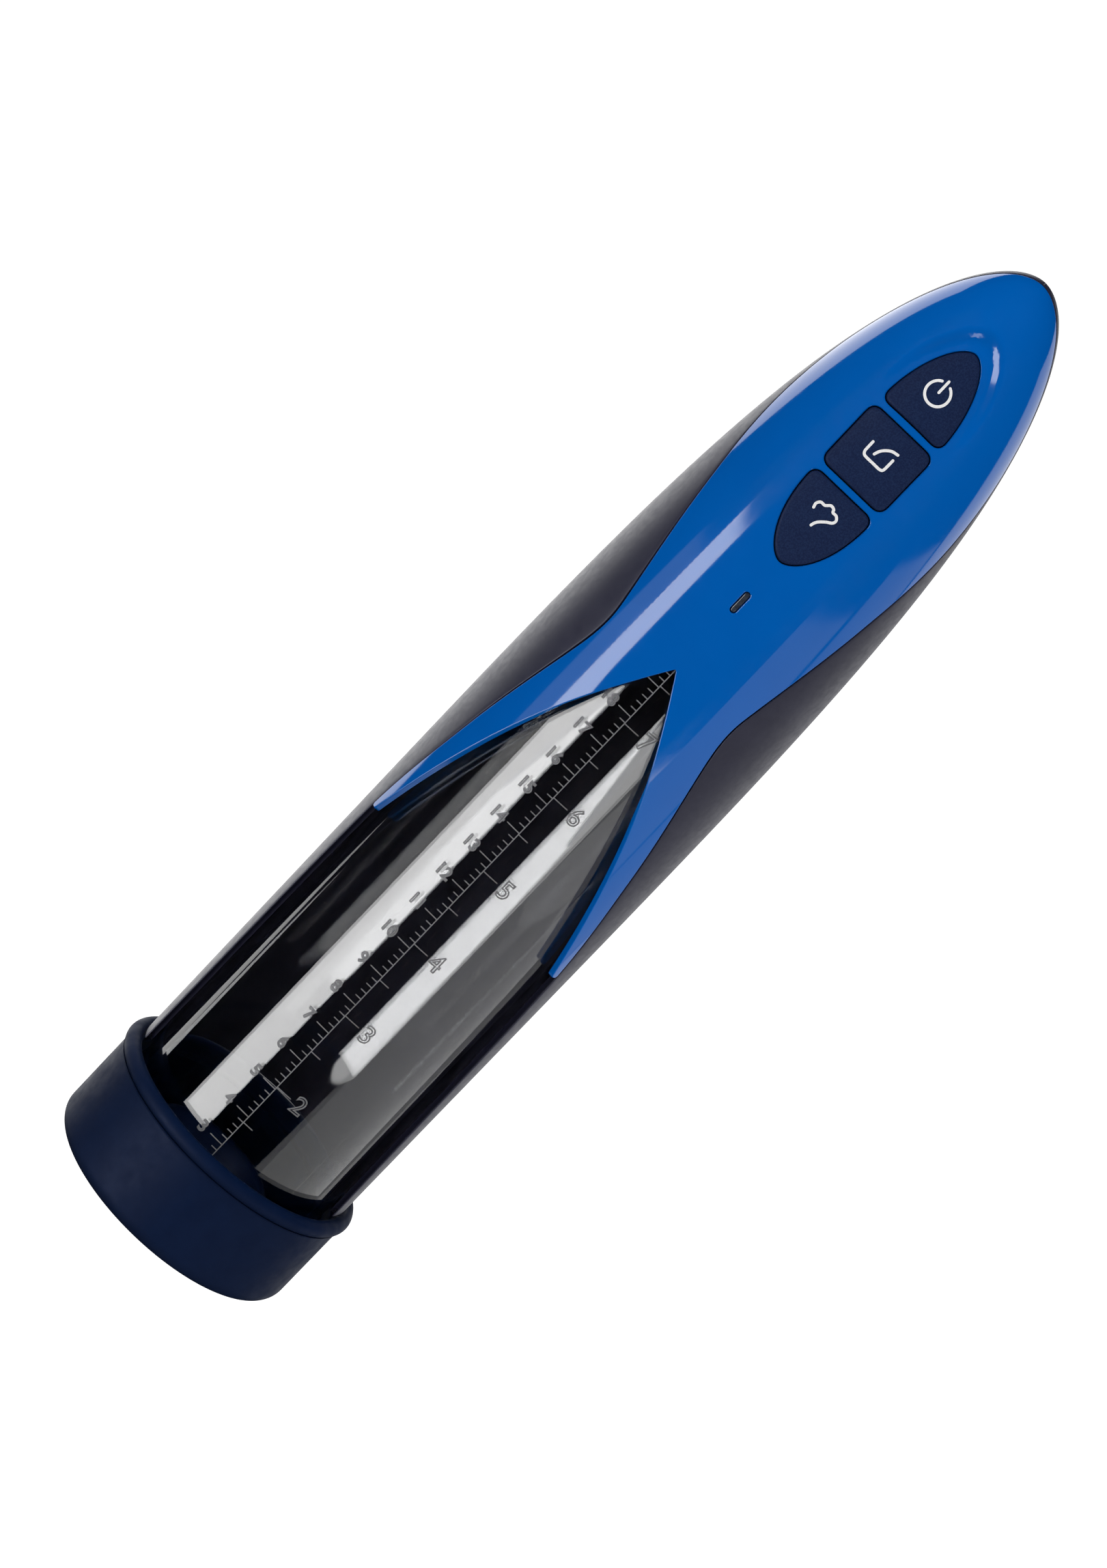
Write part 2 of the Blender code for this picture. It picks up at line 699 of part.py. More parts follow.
def make_pump():
    x, y = PUMP_PLACE
    outer = PUMP_RADIUS
    head = turned(
        "pump_head",
        [(0, 230 * MM), (outer, 230 * MM), (outer, 238 * MM), (9 * MM, 238 * MM), (9 * MM, 237 * MM), (0, 237 * MM)],
        black_plastic(), PUMP_PLACE,
    )
    stub = rod(
        "inlet_stub", (x + 5.9 * MM, y, 227 * MM), (x + 5.9 * MM, y, 231 * MM), STUB_RADIUS, cutter=True, sides=16
    )
    cut(head, stub, "UNION")
    turned(
        "diaphragm",
        [
            (0, 238.3 * MM), (outer, 238.3 * MM), (outer, 239.3 * MM), (6 * MM, 239.3 * MM), (5 * MM, 240 * MM),
            (0, 240 * MM),
        ],
        silicone_grey(), PUMP_PLACE,
    )
    turned(
        "pump_case",
        [
            (9.3 * MM, 239.6 * MM), (outer, 239.6 * MM), (outer, 253 * MM), (2 * MM, 253 * MM),
            (2 * MM, 251 * MM), (9.3 * MM, 251 * MM),
        ],
        black_plastic(), PUMP_PLACE,
    )
    turned(
        "wobble_plate",
        [
            (0, 241.4 * MM), (7.6 * MM, 241.4 * MM), (7.6 * MM, 242.8 * MM), (1.3 * MM, 242.8 * MM),
            (1.3 * MM, 244.8 * MM), (0, 244.8 * MM),
        ],
        steel(), PUMP_PLACE, sides=16,
    )
    shaft = turned(
        "motor_shaft",
        [
            (0, 246.5 * MM), (4 * MM, 246.5 * MM), (4 * MM, 249.8 * MM), (1 * MM, 249.8 * MM),
            (1 * MM, 259 * MM), (0, 259 * MM),
        ],
        steel(), PUMP_PLACE, sides=12,
    )
    pin = rod("crank_pin", (x + 2 * MM, y, 245.3 * MM), (x + 2 * MM, y, 247 * MM), 0.8 * MM, cutter=True)
    cut(shaft, pin, "UNION")
    turned(
        "motor",
        [
            (1.3 * MM, 253.4 * MM), (3 * MM, 253.4 * MM), (3 * MM, 254.6 * MM), (MOTOR_RADIUS, 254.6 * MM),
            (MOTOR_RADIUS, 278 * MM), (3 * MM, 278 * MM), (3 * MM, 280 * MM), (0, 280 * MM), (0, 260 * MM),
            (1.3 * MM, 260 * MM),
        ],
        steel(), PUMP_PLACE,
    )


def make_valve():
    outer = VALVE_RADIUS
    turned(
        "valve_body",
        [
            (0, 213.2 * MM), (outer, 213.2 * MM), (outer, 222.6 * MM), (2.8 * MM, 222.6 * MM),
            (2.8 * MM, 219 * MM), (0, 219 * MM),
        ],
        black_plastic(), VALVE_PLACE, sides=16,
    )
    turned(
        "valve_coil",
        [
            (2.8 * MM, 223 * MM), (outer, 223 * MM), (outer, 240 * MM), (0, 240 * MM), (0, 238 * MM),
            (2.8 * MM, 238 * MM),
        ],
        copper_coil(), VALVE_PLACE, sides=16,
    )
    turned(
        "valve_plunger", [(0, 219.4 * MM), (2.4 * MM, 219.4 * MM), (2.4 * MM, 231 * MM), (0, 231 * MM)],
        steel(), VALVE_PLACE, sides=12,
    )
    x, y = VALVE_PLACE
    steps = 8
    route = []
    for step in range(SPRING_TURNS * steps + 1):
        angle = 2 * math.pi * step / steps
        height = SPRING_LOW + (SPRING_HIGH - SPRING_LOW) * step / (SPRING_TURNS * steps)
        route.append((x / MM + SPRING_COIL * math.cos(angle), y / MM + SPRING_COIL * math.sin(angle), height))
    wire("valve_spring", route, SPRING_WIRE, steel())


def make_battery():
    x, y = BATTERY_PLACE
    radius = BATTERY_RADIUS
    turned(
        "battery_cell",
        [
            (0, 219.6 * MM), (radius, 219.6 * MM), (radius, 275.5 * MM), (3 * MM, 275.5 * MM), (3 * MM, 277 * MM),
            (0, 277 * MM),
        ],
        battery_wrap(), BATTERY_PLACE,
    )
    outward = math.degrees(math.atan2(y, x))
    inner = radius + GAP
    outline = arc((x, y), inner, outward + 70, outward - 70, 8)
    outline += arc((x, y), inner + 1.2 * MM, outward - 70, outward + 70, 8)
    prism("battery_cradle", outline, Matrix.Identity(4), 230 * MM, 266 * MM, black_plastic())
    wire("battery_lead", BATTERY_LEAD, LEAD_RADIUS, cable_red())
    wire("motor_lead", MOTOR_LEAD, LEAD_RADIUS, cable_black())


def make_inlet():
    frame = surface_frame(INLET_HEIGHT, back=True)
    cover = prism(
        "charge_cover", pill_outline(COVER_WIDTH, COVER_HEIGHT), frame, -COVER_DEPTH, 4 * MM, navy_silicone()
    )
    cut(cover, envelope("cover_envelope", 0.0), "INTERSECT")
    socket = rectangle(SOCKET_WIDTH, SOCKET_HEIGHT)
    port = prism("charge_socket", socket, frame, SOCKET_BACK, SOCKET_FRONT, steel())
    mouth = prism("socket_mouth", pill_outline(7.6 * MM, 2 * MM), frame, -8 * MM, -1 * MM, cutter=True)
    cut(port, mouth)
    board = rectangle(14 * MM, 9 * MM)
    prism("charge_board", board, frame, SOCKET_BACK - 1.5 * MM, SOCKET_BACK - GAP, board_green())


def make_cylinder():
    inner = TUBE_RADIUS - TUBE_WALL
    ceiling = TUBE_TOP - TUBE_WALL
    profile = [(PORT_BORE, ceiling)]
    profile += arc((inner - TUBE_FILLET, ceiling - TUBE_FILLET), TUBE_FILLET, 90, 0, 2)
    profile += arc((TUBE_RADIUS - TUBE_WALL / 2, TUBE_MOUTH + TUBE_WALL / 2), TUBE_WALL / 2, 180, 360, 3)
    profile += arc((TUBE_RADIUS - TUBE_CORNER, TUBE_TOP - TUBE_CORNER), TUBE_CORNER, 0, 90, 2)
    profile += [(PORT_RADIUS, TUBE_TOP), (PORT_RADIUS, PORT_TOP), (PORT_BORE, PORT_TOP)]
    turned("clear_cylinder", profile, clear_plastic(), sides=40)


def make_sleeve():
    """A cup over the cylinder's mouth with a rolled bead, and a soft entry that turns up inside."""
    wall = SLEEVE_RADIUS
    profile = [(END_RING, 0)]
    profile += arc((wall - SLEEVE_CORNER, SLEEVE_CORNER), SLEEVE_CORNER, -90, 0, 4)
    profile += arc((BEAD_CENTRE, BEAD_HEIGHT), BEAD_RADIUS, -55, 180, 7)
    profile += [(BEAD_CENTRE - BEAD_RADIUS, 26 * MM), (SLEEVE_BORE, 25 * MM)] + ENTRY_UP
    profile += arc(ENTRY_LIP, ENTRY_LIP_RADIUS, 0, 180, 2) + ENTRY_DOWN
    turned("entry_sleeve", profile, navy_silicone(), sides=40)


def main():
    clear_scene()
    make_grip()
    make_faceplate()
    make_keys()
    make_board()
    make_chassis()
    make_bulkhead()
    make_manifold()
    make_pump()
    make_valve()
    make_battery()
    make_inlet()
    make_cylinder()
    make_sleeve()


main()
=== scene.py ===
"""Looks of the handheld vacuum pump: smooth shells, keys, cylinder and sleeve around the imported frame."""

import math

import bmesh
import bpy
import numpy as np
from mathutils import Matrix, Vector
from mathutils.geometry import delaunay_2d_cdt


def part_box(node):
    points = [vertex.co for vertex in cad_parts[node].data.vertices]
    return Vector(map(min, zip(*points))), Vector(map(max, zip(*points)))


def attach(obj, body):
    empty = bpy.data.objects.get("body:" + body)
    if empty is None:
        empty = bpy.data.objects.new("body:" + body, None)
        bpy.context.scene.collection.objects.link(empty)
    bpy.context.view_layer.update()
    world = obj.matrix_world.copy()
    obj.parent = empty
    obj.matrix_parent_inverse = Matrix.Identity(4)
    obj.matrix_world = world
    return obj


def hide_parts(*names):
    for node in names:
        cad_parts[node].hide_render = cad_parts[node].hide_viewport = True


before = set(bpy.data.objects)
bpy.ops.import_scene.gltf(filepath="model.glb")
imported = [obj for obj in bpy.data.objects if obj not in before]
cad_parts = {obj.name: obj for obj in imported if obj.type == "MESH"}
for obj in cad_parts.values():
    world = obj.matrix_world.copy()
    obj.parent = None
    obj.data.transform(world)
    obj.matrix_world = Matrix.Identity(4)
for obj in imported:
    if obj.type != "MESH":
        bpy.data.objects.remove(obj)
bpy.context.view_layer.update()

MM = 0.001

# Sizes that the frame gives.
GRIP_LOW, GRIP_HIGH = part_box("grip_shell")
TUBE_LOW, TUBE_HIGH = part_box("clear_cylinder")
SLEEVE_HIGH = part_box("entry_sleeve")[1]
PLATE_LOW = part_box("faceplate")[0]
BODY_LOW = GRIP_LOW.z
NOSE_TIP = GRIP_HIGH.z
BODY_RADIUS = GRIP_HIGH.x
TUBE_RADIUS = TUBE_HIGH.x

# The handle's outline and split line, as in the CAD.
NOSE_START = 80.0 * MM
NOSE_POWER = 4.5
NOSE_ROUND = 1.86
SHELL = 1.8 * MM
SEAM = 0.26 * MM
GRIP_ROLL = 0.26 * MM
GRIP_NOSE_ROWS_START = 118 * MM
GRIP_COLUMNS = 60
SPLIT_LINE = [
    (31.0 * MM, 9.5 * MM),
    (115.0 * MM, 13.1 * MM),
    (150.0 * MM, 19.5 * MM),
    (185.0 * MM, 25.8 * MM),
    (200.0 * MM, 26.0 * MM),
    (234.0 * MM, 18.0 * MM),
    (264.0 * MM, 7.2 * MM),
    (283.0 * MM, 2.8 * MM),
    (323.0 * MM, 2.5 * MM),
]
WINDOW_APEX = 198.9 * MM
WINDOW_REACH = 41.0 * MM
WINDOW_FALL = 61.5 * MM
LEG_END = PLATE_LOW.z

# The faceplate's flatter middle panel, and the dish that the keys sit in.
PANEL_DEPTH = 1.7 * MM
PANEL_HALF = 15.0 * MM
PANEL_STARTS = (150 * MM, 192 * MM)
PANEL_ENDS = (262 * MM, 292 * MM)
DISH_DEPTH = 2.2 * MM
DISH_STARTS = (274 * MM, 298 * MM)
DISH_LOW = 278.0 * MM
DISH_HIGH = 306.5 * MM
DISH_HALF = 12.6 * MM
# The dish's wall lies between these shares of its outline.
DISH_WALL = (0.89, 1.06)

# Keys: height of the low and high end, half the width, shape, and the body that each rides on.
KEYS = [
    ("power_button", (279.5 * MM, 301.3 * MM, 9.4 * MM), "up", "power_key"),
    ("mode_button", (259.2 * MM, 277.1 * MM, 9.8 * MM), "square", "mode_key"),
    ("release_button", (234.9 * MM, 256.9 * MM, 9.6 * MM), "down", "release_key"),
]
KEY_GAP = 0.3 * MM
# Walls run straight in, along the keys' travel, up to this distance across and this height.
STRAIGHT_SIDES = (11 * MM, 18 * MM)
STRAIGHT_ENDS = (302 * MM, 306 * MM)
KEY_PROUD = 0.5 * MM
KEY_DEPTH = 1.5 * MM
KEY_CORNER = 2.0 * MM
KEY_SOFTENING = 0.7 * MM
KEY_EDGE = 0.8 * MM
ICON_LINE = 0.72 * MM

# Icon strokes in millimetres about each key's middle.
RING = [
    (-0.3 + 3.2 * math.sin(math.radians(a)), -1.7 + 3.2 * math.cos(math.radians(a)))
    for a in range(25, 336, 10)
]
ICONS = {
    "power_button": [RING, [(-0.3, -1.4), (-0.3, 2.2)]],
    "mode_button": [
        [(-3.6, 2.35), (-3.6, 0.9), (-3.55, -0.5), (-3.1, -1.2), (-2.3, -1.4), (0.0, -1.4),
         (2.0, -1.4), (2.8, -1.1), (3.05, -0.3), (3.05, 2.3)],
        [(-1.35, 0.4), (-0.9, 1.6), (0.0, 2.75), (1.35, 3.7), (3.0, 4.05)],
    ],
    "release_button": [
        [(-3.1, 3.9), (-3.35, 5.0), (-2.7, 5.95), (-1.6, 6.0), (-1.2, 6.2), (-0.2, 7.0),
         (0.9, 6.75), (1.25, 6.1), (2.4, 6.05), (3.2, 5.2), (2.9, 4.2), (1.6, 3.35),
         (0.3, 2.2), (-0.3, 1.3), (-0.55, 0.4)],
    ],
}

# Status light slot and charging cover.
SLOT_MIDDLE = 221.2 * MM
SLOT_LENGTH = 6.3 * MM
SLOT_WIDTH = 1.7 * MM
INLET_HEIGHT = 226.0 * MM
COVER_WIDTH = 14.0 * MM
COVER_HEIGHT = 7.0 * MM

# Cylinder, ruler and sleeve.
TUBE_WALL = 2.3 * MM
TUBE_TOP = WINDOW_APEX + 7.1 * MM
TUBE_INNER_CORNER = 4 * MM
TUBE_OUTER_CORNER = 1.5 * MM
TUBE_STRAIGHT_INSIDE = 5 * MM
TUBE_STRAIGHT_OUTSIDE = 3 * MM
TUBE_CUTS = 18
PORT_RADIUS = 4.0 * MM
PORT_BORE = 2.0 * MM
INCH = 25.4 * MM
MARK_LINE = 0.28 * MM
NUMERAL_LINE = 0.4 * MM
RULER_ENDS = (26 * MM, 196 * MM)
CM_TICKS = (4.1 * MM, 1.8 * MM)
INCH_TICKS = (4.5 * MM, 3.0 * MM)
CM_NUMERALS = (-6.7 * MM, 3.1 * MM)
INCH_NUMERALS = (7.2 * MM, 4.8 * MM)
MARK_LOW = 0.005 * MM
MARK_HIGH = 0.05 * MM
SLEEVE_WALL = 36.2 * MM
SLEEVE_CORNER = 4.5 * MM
SLEEVE_CLEARANCE = 0.3 * MM
BEAD_RADIUS = 2.2 * MM

# Light panels round the handle: name, azimuth, elevation, distance, width, height, brightness.
# Bright strips only draw reflections, and wide soft panels only light the surface.
LIGHT_TARGET = Vector((0, 0, 0.16))
STRIPS = [
    ("strip_left", -39, -21.0, 1.25, 0.66, 0.98, 5.9),
    ("strip_left_wide", -62, -12, 1.3, 0.36, 0.4, 0.6),
    ("strip_right", 35.5, -17.0, 1.26, 0.48, 0.25, 2.9),
    ("strip_far_right", 66, -20, 1.4, 1.0, 0.9, 0.55),
    ("side_right", 104, -14, 1.4, 0.8, 0.8, 0.5),
    ("rim_left", -147, -2, 1.4, 1.55, 1.7, 1.8),
    ("rim_right", 147, -4, 1.4, 1.3, 1.6, 0.8),
]
SOFT_PANELS = [
    ("soft_left", -45, 22, 1.6, 1.4, 1.4, 1.7),
    ("soft_right", 50, 18, 1.6, 1.4, 1.4, 1.0),
    ("soft_top", 0, 75, 1.6, 1.4, 1.4, 0.6),
]
FLOOR_DROP = 0.26
FLOOR_RADIUS = 3.0
# The floor lies to the right, so that only the right side of the cylinder reflects it.
FLOOR_PLACE = (2.2, 1.85)
DOME_RADIUS = 14.0
WORLD_COLOUR = (0.95, 0.97, 1.0, 1.0)
WORLD_STRENGTH = 0.35

# Camera, tilted down and rolled, so that the object's upright axis leans right in the picture.
CAMERA_AWAY = 1.25
CAMERA_HEIGHT = 0.483
CAMERA_ASIDE = -2.3 * MM
CAMERA_DOWN = math.radians(14.95)
CAMERA_ROLL = math.radians(43.66)
SENSOR = 36.0
LENS = 120.7


# ---------------------------------------------------------------- objects and materials

def placed(name, data):
    """A new object with this data, linked to the scene."""
    obj = bpy.data.objects.new(name, data)
    bpy.context.scene.collection.objects.link(obj)
    return obj


def mesh_from(name, form):
    """A new mesh from a bmesh, which is freed."""
    mesh = bpy.data.meshes.new(name)
    form.to_mesh(mesh)
    form.free()
    return mesh


def new_material(name):
    made = bpy.data.materials.new(name)
    made.use_nodes = True
    return made, made.node_tree, made.node_tree.nodes["Principled BSDF"]


def add(tree, kind, **values):
    """A shader node; values are attributes, or inputs when an input has that name."""
    node = tree.nodes.new(kind)
    for key, value in values.items():
        label = key.replace("_", " ").title()
        if label in node.inputs:
            node.inputs[label].default_value = value
        else:
            setattr(node, key, value)
    return node


def grain_bump(tree, shader, scale, strength, distance):
    """A fine surface grain as bump, measured in the piece's own space."""
    place = add(tree, "ShaderNodeTexCoord")
    grain = add(tree, "ShaderNodeTexNoise", scale=scale, detail=3.0, roughness=0.55)
    bump = add(tree, "ShaderNodeBump", strength=strength, distance=distance)
    tree.links.new(place.outputs["Object"], grain.inputs["Vector"])
    tree.links.new(grain.outputs["Fac"], bump.inputs["Height"])
    tree.links.new(bump.outputs["Normal"], shader.inputs["Normal"])


def mottle(tree, shader, first, second, scale, socket="Base Color", low=0.35, high=0.65):
    """Slow variation between two colours or two grey values."""
    place = add(tree, "ShaderNodeTexCoord")
    noise = add(tree, "ShaderNodeTexNoise", scale=scale, detail=4.0, roughness=0.6)
    blend = add(tree, "ShaderNodeValToRGB")
    for stop, position, colour in zip(blend.color_ramp.elements, (low, high), (first, second)):
        stop.position = position
        stop.color = (*colour, 1.0)
    tree.links.new(place.outputs["Object"], noise.inputs["Vector"])
    tree.links.new(noise.outputs["Fac"], blend.inputs["Fac"])
    tree.links.new(blend.outputs["Color"], shader.inputs[socket])


def grey(value):
    return (value, value, value)


def make_blue_gloss():
    made, tree, shader = new_material("blue_gloss_plastic")
    mottle(tree, shader, (0.0, 0.103, 0.43), (0.0, 0.108, 0.446), 60)
    mottle(tree, shader, grey(0.07), grey(0.1), 300, "Roughness")
    shader.inputs["Specular IOR Level"].default_value = 0.5
    grain_bump(tree, shader, 900, 0.02, 0.02 * MM)
    return made


def make_navy_soft():
    made, tree, shader = new_material("navy_soft_touch_plastic")
    mottle(tree, shader, (0.015, 0.015, 0.036), (0.018, 0.018, 0.041), 90)
    mottle(tree, shader, grey(0.42), grey(0.5), 500, "Roughness")
    shader.inputs["Specular IOR Level"].default_value = 0.42
    grain_bump(tree, shader, 3500, 0.12, 0.02 * MM)
    return made


# Painted shade: a copy of the navy soft-touch for the shell's inner faces. It is the same plastic, with its
# colour and reflection set for how the shaded inside looks.
def make_lining():
    made, tree, shader = new_material("navy_inside_shade_copy")
    mottle(tree, shader, (0.026, 0.026, 0.044), (0.032, 0.032, 0.052), 90)
    mottle(tree, shader, grey(0.6), grey(0.7), 500, "Roughness")
    shader.inputs["Specular IOR Level"].default_value = 0.08
    grain_bump(tree, shader, 3500, 0.12, 0.02 * MM)
    return made


def make_navy_key():
    made, tree, shader = new_material("navy_key_rubber")
    mottle(tree, shader, (0.0065, 0.014, 0.05), (0.0105, 0.023, 0.07), 2600, low=0.42, high=0.6)
    mottle(tree, shader, grey(0.42), grey(0.55), 1800, "Roughness")
    shader.inputs["Specular IOR Level"].default_value = 0.06
    grain_bump(tree, shader, 3000, 0.25, 0.03 * MM)
    return made


def make_silicone():
    made, tree, shader = new_material("navy_silicone")
    mottle(tree, shader, (0.0012, 0.0075, 0.033), (0.0016, 0.0088, 0.037), 160)
    mottle(tree, shader, grey(0.5), grey(0.62), 240, "Roughness")
    shader.inputs["Specular IOR Level"].default_value = 0.06
    grain_bump(tree, shader, 2200, 0.15, 0.03 * MM)
    return made


def make_clear():
    made, tree, shader = new_material("clear_smoky_plastic")
    shader.inputs["Base Color"].default_value = (0.93, 0.935, 0.94, 1.0)
    mottle(tree, shader, grey(0.012), grey(0.03), 80, "Roughness")
    shader.inputs["IOR"].default_value = 1.49
    shader.inputs["Transmission Weight"].default_value = 1.0
    return made


def make_mark():
    made, tree, shader = new_material("moulded_mark")
    mottle(tree, shader, (0.12, 0.12, 0.125), (0.17, 0.17, 0.18), 1500)
    shader.inputs["Roughness"].default_value = 0.45
    grain_bump(tree, shader, 4000, 0.2, 0.02 * MM)
    return made


def make_icon_ink():
    made, tree, shader = new_material("icon_ink")
    mottle(tree, shader, (0.80, 0.79, 0.78), (0.9, 0.89, 0.88), 2500)
    shader.inputs["Roughness"].default_value = 0.5
    grain_bump(tree, shader, 4000, 0.2, 0.02 * MM)
    return made


def make_light_window():
    made, tree, shader = new_material("light_window_plastic")
    mottle(tree, shader, (0.02, 0.026, 0.035), (0.045, 0.055, 0.07), 900)
    shader.inputs["Roughness"].default_value = 0.2
    shader.inputs["Coat Weight"].default_value = 0.5
    grain_bump(tree, shader, 1500, 0.1, 0.03 * MM)
    return made


def make_inner(name, first, second, rough, metal=0.0, scale=400):
    """Plain engineering finishes for the pieces inside, each with mottling and grain."""
    made, tree, shader = new_material(name)
    mottle(tree, shader, first, second, scale)
    mottle(tree, shader, grey(rough), grey(min(rough + 0.12, 1.0)), scale * 2, "Roughness")
    shader.inputs["Metallic"].default_value = metal
    grain_bump(tree, shader, scale * 6, 0.15, 0.03 * MM)
    return made


def finishes():
    """One detailed material for each material slot in the record."""
    return {
        "navy_soft_touch": make_navy_soft(),
        "blue_gloss": make_blue_gloss(),
        "navy_key": make_navy_key(),
        "navy_silicone": make_silicone(),
        "clear_plastic": make_clear(),
        "light_window": make_light_window(),
        "black_plastic": make_inner("black_moulding", (0.014, 0.014, 0.016), (0.022, 0.022, 0.024), 0.4),
        "steel": make_inner("brushed_steel", grey(0.5), grey(0.66), 0.26, metal=1.0, scale=700),
        "board_green": make_inner("board_lacquer", (0.012, 0.09, 0.035), (0.02, 0.13, 0.05), 0.3),
        "silicone_grey": make_inner("grey_silicone", grey(0.3), grey(0.4), 0.5),
        "battery_wrap": make_inner("battery_film", (0.015, 0.15, 0.36), (0.025, 0.19, 0.42), 0.25),
        "copper_coil": make_inner("copper_winding", (0.55, 0.2, 0.08), (0.7, 0.3, 0.13), 0.32, metal=1.0),
        "white_felt": make_inner("white_felt", grey(0.68), grey(0.8), 0.85, scale=2500),
        "cable_red": make_inner("red_cable", (0.38, 0.012, 0.012), (0.48, 0.02, 0.02), 0.4),
        "cable_black": make_inner("black_cable", grey(0.02), grey(0.035), 0.4),
    }


# ---------------------------------------------------------------- the handle's surface

def body_radius(z):
    along = np.clip((z - NOSE_START) / (NOSE_TIP - NOSE_START), 0.0, 1.0)
    return BODY_RADIUS * (1 - along**NOSE_POWER) ** (1 / NOSE_ROUND)


def on_line(points, z):
    """A smooth curve through (height, value) points, with slopes taken from the neighbours."""
    heights, values = np.array(points).T
    last = len(points) - 1
    before = np.maximum(np.arange(len(points)) - 1, 0)
    after = np.minimum(np.arange(len(points)) + 1, last)
    slopes = (values[after] - values[before]) / (heights[after] - heights[before])
    z = np.clip(z, heights[0], heights[-1])
    i = np.clip(np.searchsorted(heights, z, side="right") - 1, 0, last - 1)
    span = heights[i + 1] - heights[i]
    s = (z - heights[i]) / span
    return (
        (2 * s**3 - 3 * s**2 + 1) * values[i]
        + (s**3 - 2 * s**2 + s) * span * slopes[i]
        + (3 * s**2 - 2 * s**3) * values[i + 1]
        + (s**3 - s**2) * span * slopes[i + 1]
    )


def split_angle(z, shift):
    """The angle from the front where the split line runs, moved forward by shift."""
    radius = np.maximum(body_radius(z), 1e-6)
    return np.arccos(np.minimum((on_line(SPLIT_LINE, z) + shift) / radius, 1.0))


def window_angle(z):
    below = np.maximum(WINDOW_APEX - z, 0.0)
    return np.arcsin(np.minimum(WINDOW_REACH * (1 - np.exp(-below / WINDOW_FALL)) / body_radius(z), 1.0))


def ramp(value, low, high):
    """0 below low, 1 above high, smooth in between."""
    share = np.clip((value - low) / (high - low), 0.0, 1.0)
    return share * share * (3 - 2 * share)


def plate_sink(x, z):
    """How far the faceplate's middle lies below the round outline, for the panel and the dish."""
    panel = PANEL_DEPTH * ramp(z, *PANEL_STARTS) * (1 - ramp(z, *PANEL_ENDS))
    flat = panel * np.clip(1 - (x / PANEL_HALF) ** 2, 0.0, 1.0) ** 2
    share = np.clip((z - DISH_LOW) / (DISH_HIGH - DISH_LOW), 0.0, None)
    reach = np.sqrt(np.abs(x / DISH_HALF) ** (1 / 0.6) + share**2.4)
    deep = DISH_DEPTH * ramp(z, *DISH_STARTS)
    return flat + deep * (1 - ramp(reach, *DISH_WALL))


# Length along the meridian, so that outlines can be drawn flat: across is radius times angle,
# and along is this length.
RUN_HEIGHTS = NOSE_TIP - (NOSE_TIP - BODY_LOW) * np.linspace(1.0, 0.0, 4001) ** 2
RUN_LENGTHS = np.concatenate(
    [[0.0], np.cumsum(np.hypot(np.diff(RUN_HEIGHTS), np.diff(body_radius(RUN_HEIGHTS))))]
)


def flat_from(angle, z):
    return np.stack([body_radius(z) * angle, np.interp(z, RUN_HEIGHTS, RUN_LENGTHS)], -1)


def angle_height(flat):
    z = np.interp(flat[:, 1], RUN_LENGTHS, RUN_HEIGHTS)
    return flat[:, 0] / np.maximum(body_radius(z), 1e-6), z


def on_body(flat, rise, sunk):
    """Points on the handle for flat points, raised by rise along the surface normal."""
    angle, z = angle_height(flat)
    step = 0.1 * MM
    low, high = np.maximum(z - step, BODY_LOW), np.minimum(z + step, NOSE_TIP)
    lean = np.arctan2(body_radius(low) - body_radius(high), high - low)
    outward = np.stack([np.cos(lean) * np.sin(angle), -np.cos(lean) * np.cos(angle), np.sin(lean)], -1)
    radius = body_radius(z)
    base = np.stack([radius * np.sin(angle), -radius * np.cos(angle), z], -1)
    if sunk:
        rise = rise - plate_sink(base[:, 0], z)
    return base + outward * np.reshape(rise, (-1, 1))


def unit(vectors):
    return vectors / np.maximum(np.linalg.norm(vectors, axis=-1, keepdims=True), 1e-12)


def surface_frames(flat, rise, sunk):
    """Across, along and outward directions of the finished surface at flat points."""
    step = 0.05 * MM
    across = unit(on_body(flat + [step, 0], rise, sunk) - on_body(flat - [step, 0], rise, sunk))
    along = unit(on_body(flat + [0, step], rise, sunk) - on_body(flat - [0, step], rise, sunk))
    return across, along, unit(np.cross(across, along))


# ---------------------------------------------------------------- outlines in the flat

def resample(points, spacing):
    """A closed outline with evenly spaced points."""
    points = np.asarray(points, float)
    closed = np.vstack([points, points[:1]])
    run = np.concatenate([[0.0], np.cumsum(np.linalg.norm(np.diff(closed, axis=0), axis=1))])
    count = max(int(run[-1] / spacing), 12)
    at = np.arange(count) * run[-1] / count
    return np.stack([np.interp(at, run, closed[:, k]) for k in range(2)], -1)


def soften(points, amount, spacing):
    """The outline with its corners rounded by a running average."""
    fine = resample(points, spacing / 3)
    reach = int(3 * amount / (spacing / 3))
    weights = np.exp(-0.5 * (np.arange(-reach, reach + 1) * spacing / 3 / amount) ** 2)
    weights /= weights.sum()
    count = len(fine)
    smooth = np.zeros_like(fine)
    for offset, weight in zip(range(-reach, reach + 1), weights):
        smooth += weight * fine[(np.arange(count) + offset) % count]
    return resample(smooth, spacing)


def anticlockwise(points):
    x, y = points.T
    area = np.sum(x * np.roll(y, -1) - np.roll(x, -1) * y)
    return points if area > 0 else points[::-1]


def outward_of(loop):
    """Unit normals that point out of an anticlockwise loop."""
    tangent = np.roll(loop, -1, axis=0) - np.roll(loop, 1, axis=0)
    return unit(np.stack([tangent[:, 1], -tangent[:, 0]], -1))


def inside(points, loop):
    x, y = points.T
    count = np.zeros(len(points), int)
    for (x1, y1), (x2, y2) in zip(loop, np.roll(loop, -1, axis=0)):
        crosses = (y1 > y) != (y2 > y)
        with np.errstate(divide="ignore", invalid="ignore"):
            count += crosses & (x < (x2 - x1) * (y - y1) / (y2 - y1) + x1)
    return count % 2 == 1


